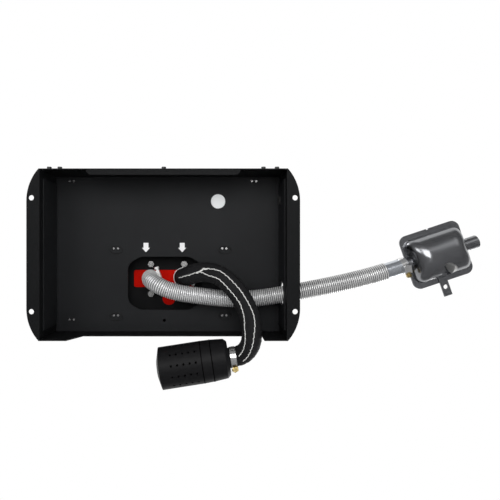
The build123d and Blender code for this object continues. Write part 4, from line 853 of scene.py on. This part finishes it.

# %% [markdown]
# ## Stainless sheet
# The muffler is deep-drawn from polished stainless sheet, which leaves faint streaks along it and
# stains that are larger. A dimple is pressed into it where the bracket is welded on, and there the
# steel is painted paler, a painted highlight, and is rougher and less metallic.

# %% Stainless
dimple_at = (0.436, 0.0203, 0.018)
dimple_r = 14.5 * mm
dimple_edge = 2 * mm
stainless = Finish("pressed_stainless", (0.35, 0.355, 0.365), 0.2, 1.0)
streaks = stainless.grain(6 * mm, detail=4.0, stretch=(0.15, 1, 1))
stain = stainless.grain(35 * mm)
# Paler, rougher and less metallic in the dimple; the paler colour is a painted highlight.
dimple_highlight = ((dimple_r - stainless.away_from(dimple_at)) * (1 / dimple_edge)).held()
stainless.cloud(stain, (0.225, 0.232, 0.245), (0.33, 0.333, 0.34))
stainless.lay_over(dimple_highlight, (0.66, 0.66, 0.65))
stainless.set("Roughness", 0.17 + 0.12 * streaks + 0.16 * dimple_highlight)
stainless.set("Metallic", 1 - 0.35 * dimple_highlight)
print("nodes in the stainless:", len(stainless.node_tree.nodes))

# %% [markdown]
# ## Bright steel and cast aluminium
# The motor's steel is drawn bright, so its gloss changes in fine lines, which a noise gives when it
# is squeezed along one axis. The heat exchanger is aluminium and is left as it was cast, with a
# grain that shows in its colour, its gloss and its height.

# %% Two bare metals
bright_steel = Finish("bright_steel", (0.58, 0.59, 0.60), 0.2, 1.0)
lines = bright_steel.grain(1.2 * mm, stretch=(6, 1, 1))
bright_steel.set("Roughness", 0.14 + 0.14 * lines)
bright_steel.relief(lines, 0.02 * mm)

cast = Finish("cast_aluminium", (0.42, 0.43, 0.44), 0.5, 0.9)
skin = cast.grain(1.4 * mm, detail=4.0)
cast.cloud(skin, (0.32, 0.33, 0.34), (0.50, 0.51, 0.52))
cast.set("Roughness", 0.38 + 0.25 * skin)
cast.relief(skin, 0.18 * mm)
print("materials so far:", len(bpy.data.materials))

# %% [markdown]
# ## Plastics and rubbers
# A moulding takes the spark-eroded grain of its mould, and the tank's natural plastic shows how it
# flowed. Silicone gathers dust and rubber blooms. Each is one noise of the right size that moves
# colour, gloss and height together, which is what the real surfaces do. The foam in the intake
# silencer is painted almost black with no gloss, a painted shade, so the holes in front of it look
# deep.

# %% Mouldings and foam
moulded = Finish("moulded_black", (0.008, 0.008, 0.009), 0.45, Specular_IOR_Level=0.12)
spark = moulded.grain(0.6 * mm, detail=2.0)
moulded.set("Roughness", 0.36 + 0.2 * spark)
moulded.cloud(spark, (0.0055, 0.0055, 0.006), (0.011, 0.011, 0.012))
moulded.relief(spark, 0.06 * mm)

# Almost black foam, a painted shade for the holes in front of it and for the seams.
painted_shade_black = Finish("hole_shade_foam", (0.002, 0.002, 0.002), 0.9, Specular_IOR_Level=0.0)
painted_shade_black.cloud(painted_shade_black.grain(1.1 * mm), (0.0005, 0.0005, 0.0005), (0.003, 0.003, 0.003))

natural = Finish("natural_polyethylene", (0.88, 0.90, 0.91), 0.4)
flow = natural.grain(12 * mm)
natural.cloud(flow, (0.83, 0.86, 0.87), (0.93, 0.94, 0.94))
natural.set("Roughness", 0.34 + 0.15 * flow)
natural.relief(flow, 0.1 * mm)
print("materials so far:", len(bpy.data.materials))

# %% Silicone and rubber
silicone = Finish("red_silicone", (0.62, 0.006, 0.001), 0.5, Specular_IOR_Level=0.03)
dust = silicone.grain(2 * mm, detail=4.0)
silicone.cloud(dust, (0.52, 0.004, 0.001), (0.70, 0.008, 0.002))
silicone.set("Roughness", 0.42 + 0.2 * dust)
silicone.relief(dust, 0.05 * mm)

rubber = Finish("black_rubber", (0.022, 0.022, 0.022), 0.75, Specular_IOR_Level=0.3)
bloom = rubber.grain(1.1 * mm)
rubber.cloud(bloom, (0.016, 0.016, 0.016), (0.032, 0.032, 0.031))
rubber.set("Roughness", 0.62 + 0.2 * bloom)
rubber.relief(bloom, 0.1 * mm)
print("materials so far:", len(bpy.data.materials))

# %% [markdown]
# ## Screen, circuit board and fuel line
# The screen is dark glass with finger smudges. The board's copper shows through its green mask,
# and a brick pattern gives short tracks of one width. The fuel line is clear nylon with a green
# haze.

# %% Glass, mask and nylon
screen = Finish("dark_screen", (0.010, 0.014, 0.017), 0.08, Coat_Weight=0.6)
smudge = screen.grain(20 * mm)
screen.set("Roughness", 0.05 + 0.12 * smudge)

bricks_per_metre = 160.0
board = Finish("solder_mask", (0.02, 0.14, 0.06), 0.35)
copper = board.node(
    "ShaderNodeTexBrick", inputs={"Vector": board.place(), "Scale": bricks_per_metre}, output="Fac"
)
board.cloud(copper, (0.015, 0.12, 0.05), (0.05, 0.24, 0.10))
board.relief(copper, 0.03 * mm)

nylon = Finish("nylon_line", (0.10, 0.32, 0.15), 0.25, Transmission_Weight=0.3)
haze = nylon.grain(10 * mm, detail=2.0)
nylon.cloud(haze, (0.07, 0.26, 0.12), (0.14, 0.38, 0.19))
print("materials so far:", len(bpy.data.materials))

# %% [markdown]
# ## Handing out the finishes
# A finish belongs to a material slot of the record, and each node names its slot there. So the
# finishes are handed out by slot, and a node that needs its own gets it by name afterwards.

# %% Finish by slot
by_slot = {
    "cabinet_black": coat,
    "bright_zinc": zinc,
    "stainless": stainless,
    "hose_foil": foil,
    "cast_aluminium": cast,
    "sleeve_fabric": cloth,
    "black_plastic": moulded,
    "white_plastic": natural,
    "red_silicone": silicone,
    "black_rubber": rubber,
    "motor_steel": bright_steel,
    "screen_glass": screen,
    "board_green": board,
    "fuel_line": nylon,
}
by_node = {
    "cabinet_screws": oxide,
    "base_pan": pan_coat,
    "silencer_foam": painted_shade_black,
    "mount_nuts": shaded_nut_zinc,
    "pan_rivets": shaded_nut_zinc,
    "exhaust_port_clamp": lit_port_zinc,
    "intake_port_clamp": lit_port_zinc,
    "muffler_clamp": lit_band_zinc,
    "silencer_clamp": lit_band_zinc,
}
for part in frame["record"]["subparts"]:
    finish = by_node.get(part["node"], by_slot[part["material_slot"]])
    made = frame["nodes"][part["node"]]
    made.data.materials.clear()
    made.data.materials.append(finish.material)

# %% [markdown]
# ## Arrows on the pan
# Two plain arrows are printed on the pan in white, one over each port. Print has no thickness to
# speak of, so each arrow is a flat shape a twentieth of a millimetre under the pan.

# %% The arrows
ink = Finish("white_ink", (0.86, 0.87, 0.88), 0.45)
ink.cloud(ink.grain(1.5 * mm, detail=4.0), (0.80, 0.81, 0.82), (0.90, 0.90, 0.90))
pan_low = 72.0
ink_drop = 0.05
arrow_places = (-36.3, 24.0)
arrow_front = -19.0
arrow_rear = -3.3
shaft_half = 4.1
head_half = 6.7
head_len = 7.5
neck = arrow_rear - head_len
outline = [(-shaft_half, arrow_front), (shaft_half, arrow_front), (shaft_half, neck)]
outline += [(head_half, neck), (0, arrow_rear), (-head_half, neck), (-shaft_half, neck)]
for number, x in enumerate(arrow_places):
    arrow_bm = bmesh.new()
    spots = [((x + dx) * mm, y * mm, (pan_low - ink_drop) * mm) for dx, y in outline]
    sheet = arrow_bm.faces.new([arrow_bm.verts.new(spot) for spot in spots])
    bmesh.ops.reverse_faces(arrow_bm, faces=[sheet])
    bmesh.ops.triangulate(arrow_bm, faces=[sheet])
    piece(f"arrow_{number + 1}", arrow_bm, ink)
print("arrows:", len(arrow_places))

# %% [markdown]
# ## Pressed rings on the pan
# Each inner pair of rivets sits in a shallow oval ring that is pressed into the sheet. It stands
# out by half a millimetre, too little for the CAD, so it is a strip with a rounded section
# that is bent round into an oval. The strip is open, so its faces are turned down if the operator
# has chosen the other side.

# %% The pressed rings
ring_places = [(-86.2, -6.6), (94.8, -6.8), (-85.9, 104.0), (96.0, 102.5)]
ring_half = (11.5, 6.8)
ring_width = 1.6
ring_stand = 0.5
ring_sink = 0.02
ring_steps = 64
ring_rows = 6
for number, (x, y) in enumerate(ring_places):
    ring_bm = bmesh.new()
    bmesh.ops.create_grid(ring_bm, x_segments=ring_steps, y_segments=ring_rows, size=0.5)
    for vert in ring_bm.verts:
        angle = (vert.co.x + 0.5) * math.tau
        across = vert.co.y + 0.5
        inset = ring_width * across
        drop = ring_stand * math.sin(math.pi * across) - ring_sink
        dx = (ring_half[0] - inset) * math.cos(angle)
        dy = (ring_half[1] - inset) * math.sin(angle)
        vert.co = ((x + dx) * mm, (y + dy) * mm, (pan_low - drop) * mm)
    bmesh.ops.remove_doubles(ring_bm, verts=ring_bm.verts, dist=weld)
    bmesh.ops.recalc_face_normals(ring_bm, faces=ring_bm.faces)
    if sum(face.normal.z for face in ring_bm.faces) > 0:
        bmesh.ops.reverse_faces(ring_bm, faces=ring_bm.faces)
    piece(f"pressed_ring_{number + 1}", ring_bm, ring_shade_coat)
print("pressed rings:", len(ring_places))

# %% [markdown]
# ## Seams of the intake silencer
# The silencer is two mouldings snapped together, and a second line runs round the neck half. Each
# looks like a fine dark groove. A groove this narrow holds no shadow of its own at this size, so a
# dark band round the plastic, a few tenths of a millimetre off it, stands for the shadow.

# %% The seams
seam_places = ((26.5, 32.9), (42.0, 33.1))
seam_half = 0.7
seam_sides = 96
for number, (from_neck, seam_r) in enumerate(seam_places):
    middle = (silencer_at + silencer_along * from_neck) * mm
    half = silencer_along * seam_half * mm
    seam_line = Line([middle - half, middle + half], facing_at=0.0)
    seam_bm = rolled(seam_line, 0.0, seam_line.length, 1, seam_sides, lambda *_: seam_r * mm)
    piece(f"silencer_seam_{number + 1}", seam_bm, painted_shade_black)

# %% [markdown]
# ## The cords' far ends
# Both hoses are free cords: each leaves the heater at its port and ends in something that lies on
# the floor. The pieces at each far end are listed here by name.

# %% Cord facts
muffler_nodes = ["muffler_clamp", "muffler_inlet", "muffler_lower_shell", "muffler_upper_shell"]
muffler_nodes += ["muffler_outlet", "muffler_bracket", "exhaust_port_clamp"]
silencer_nodes = ["silencer_clamp", "silencer_base", "silencer_cup", "silencer_foam"]
silencer_nodes += ["intake_port_clamp"]
print("cords declared:", exhaust_hose.name, intake_hose.name)
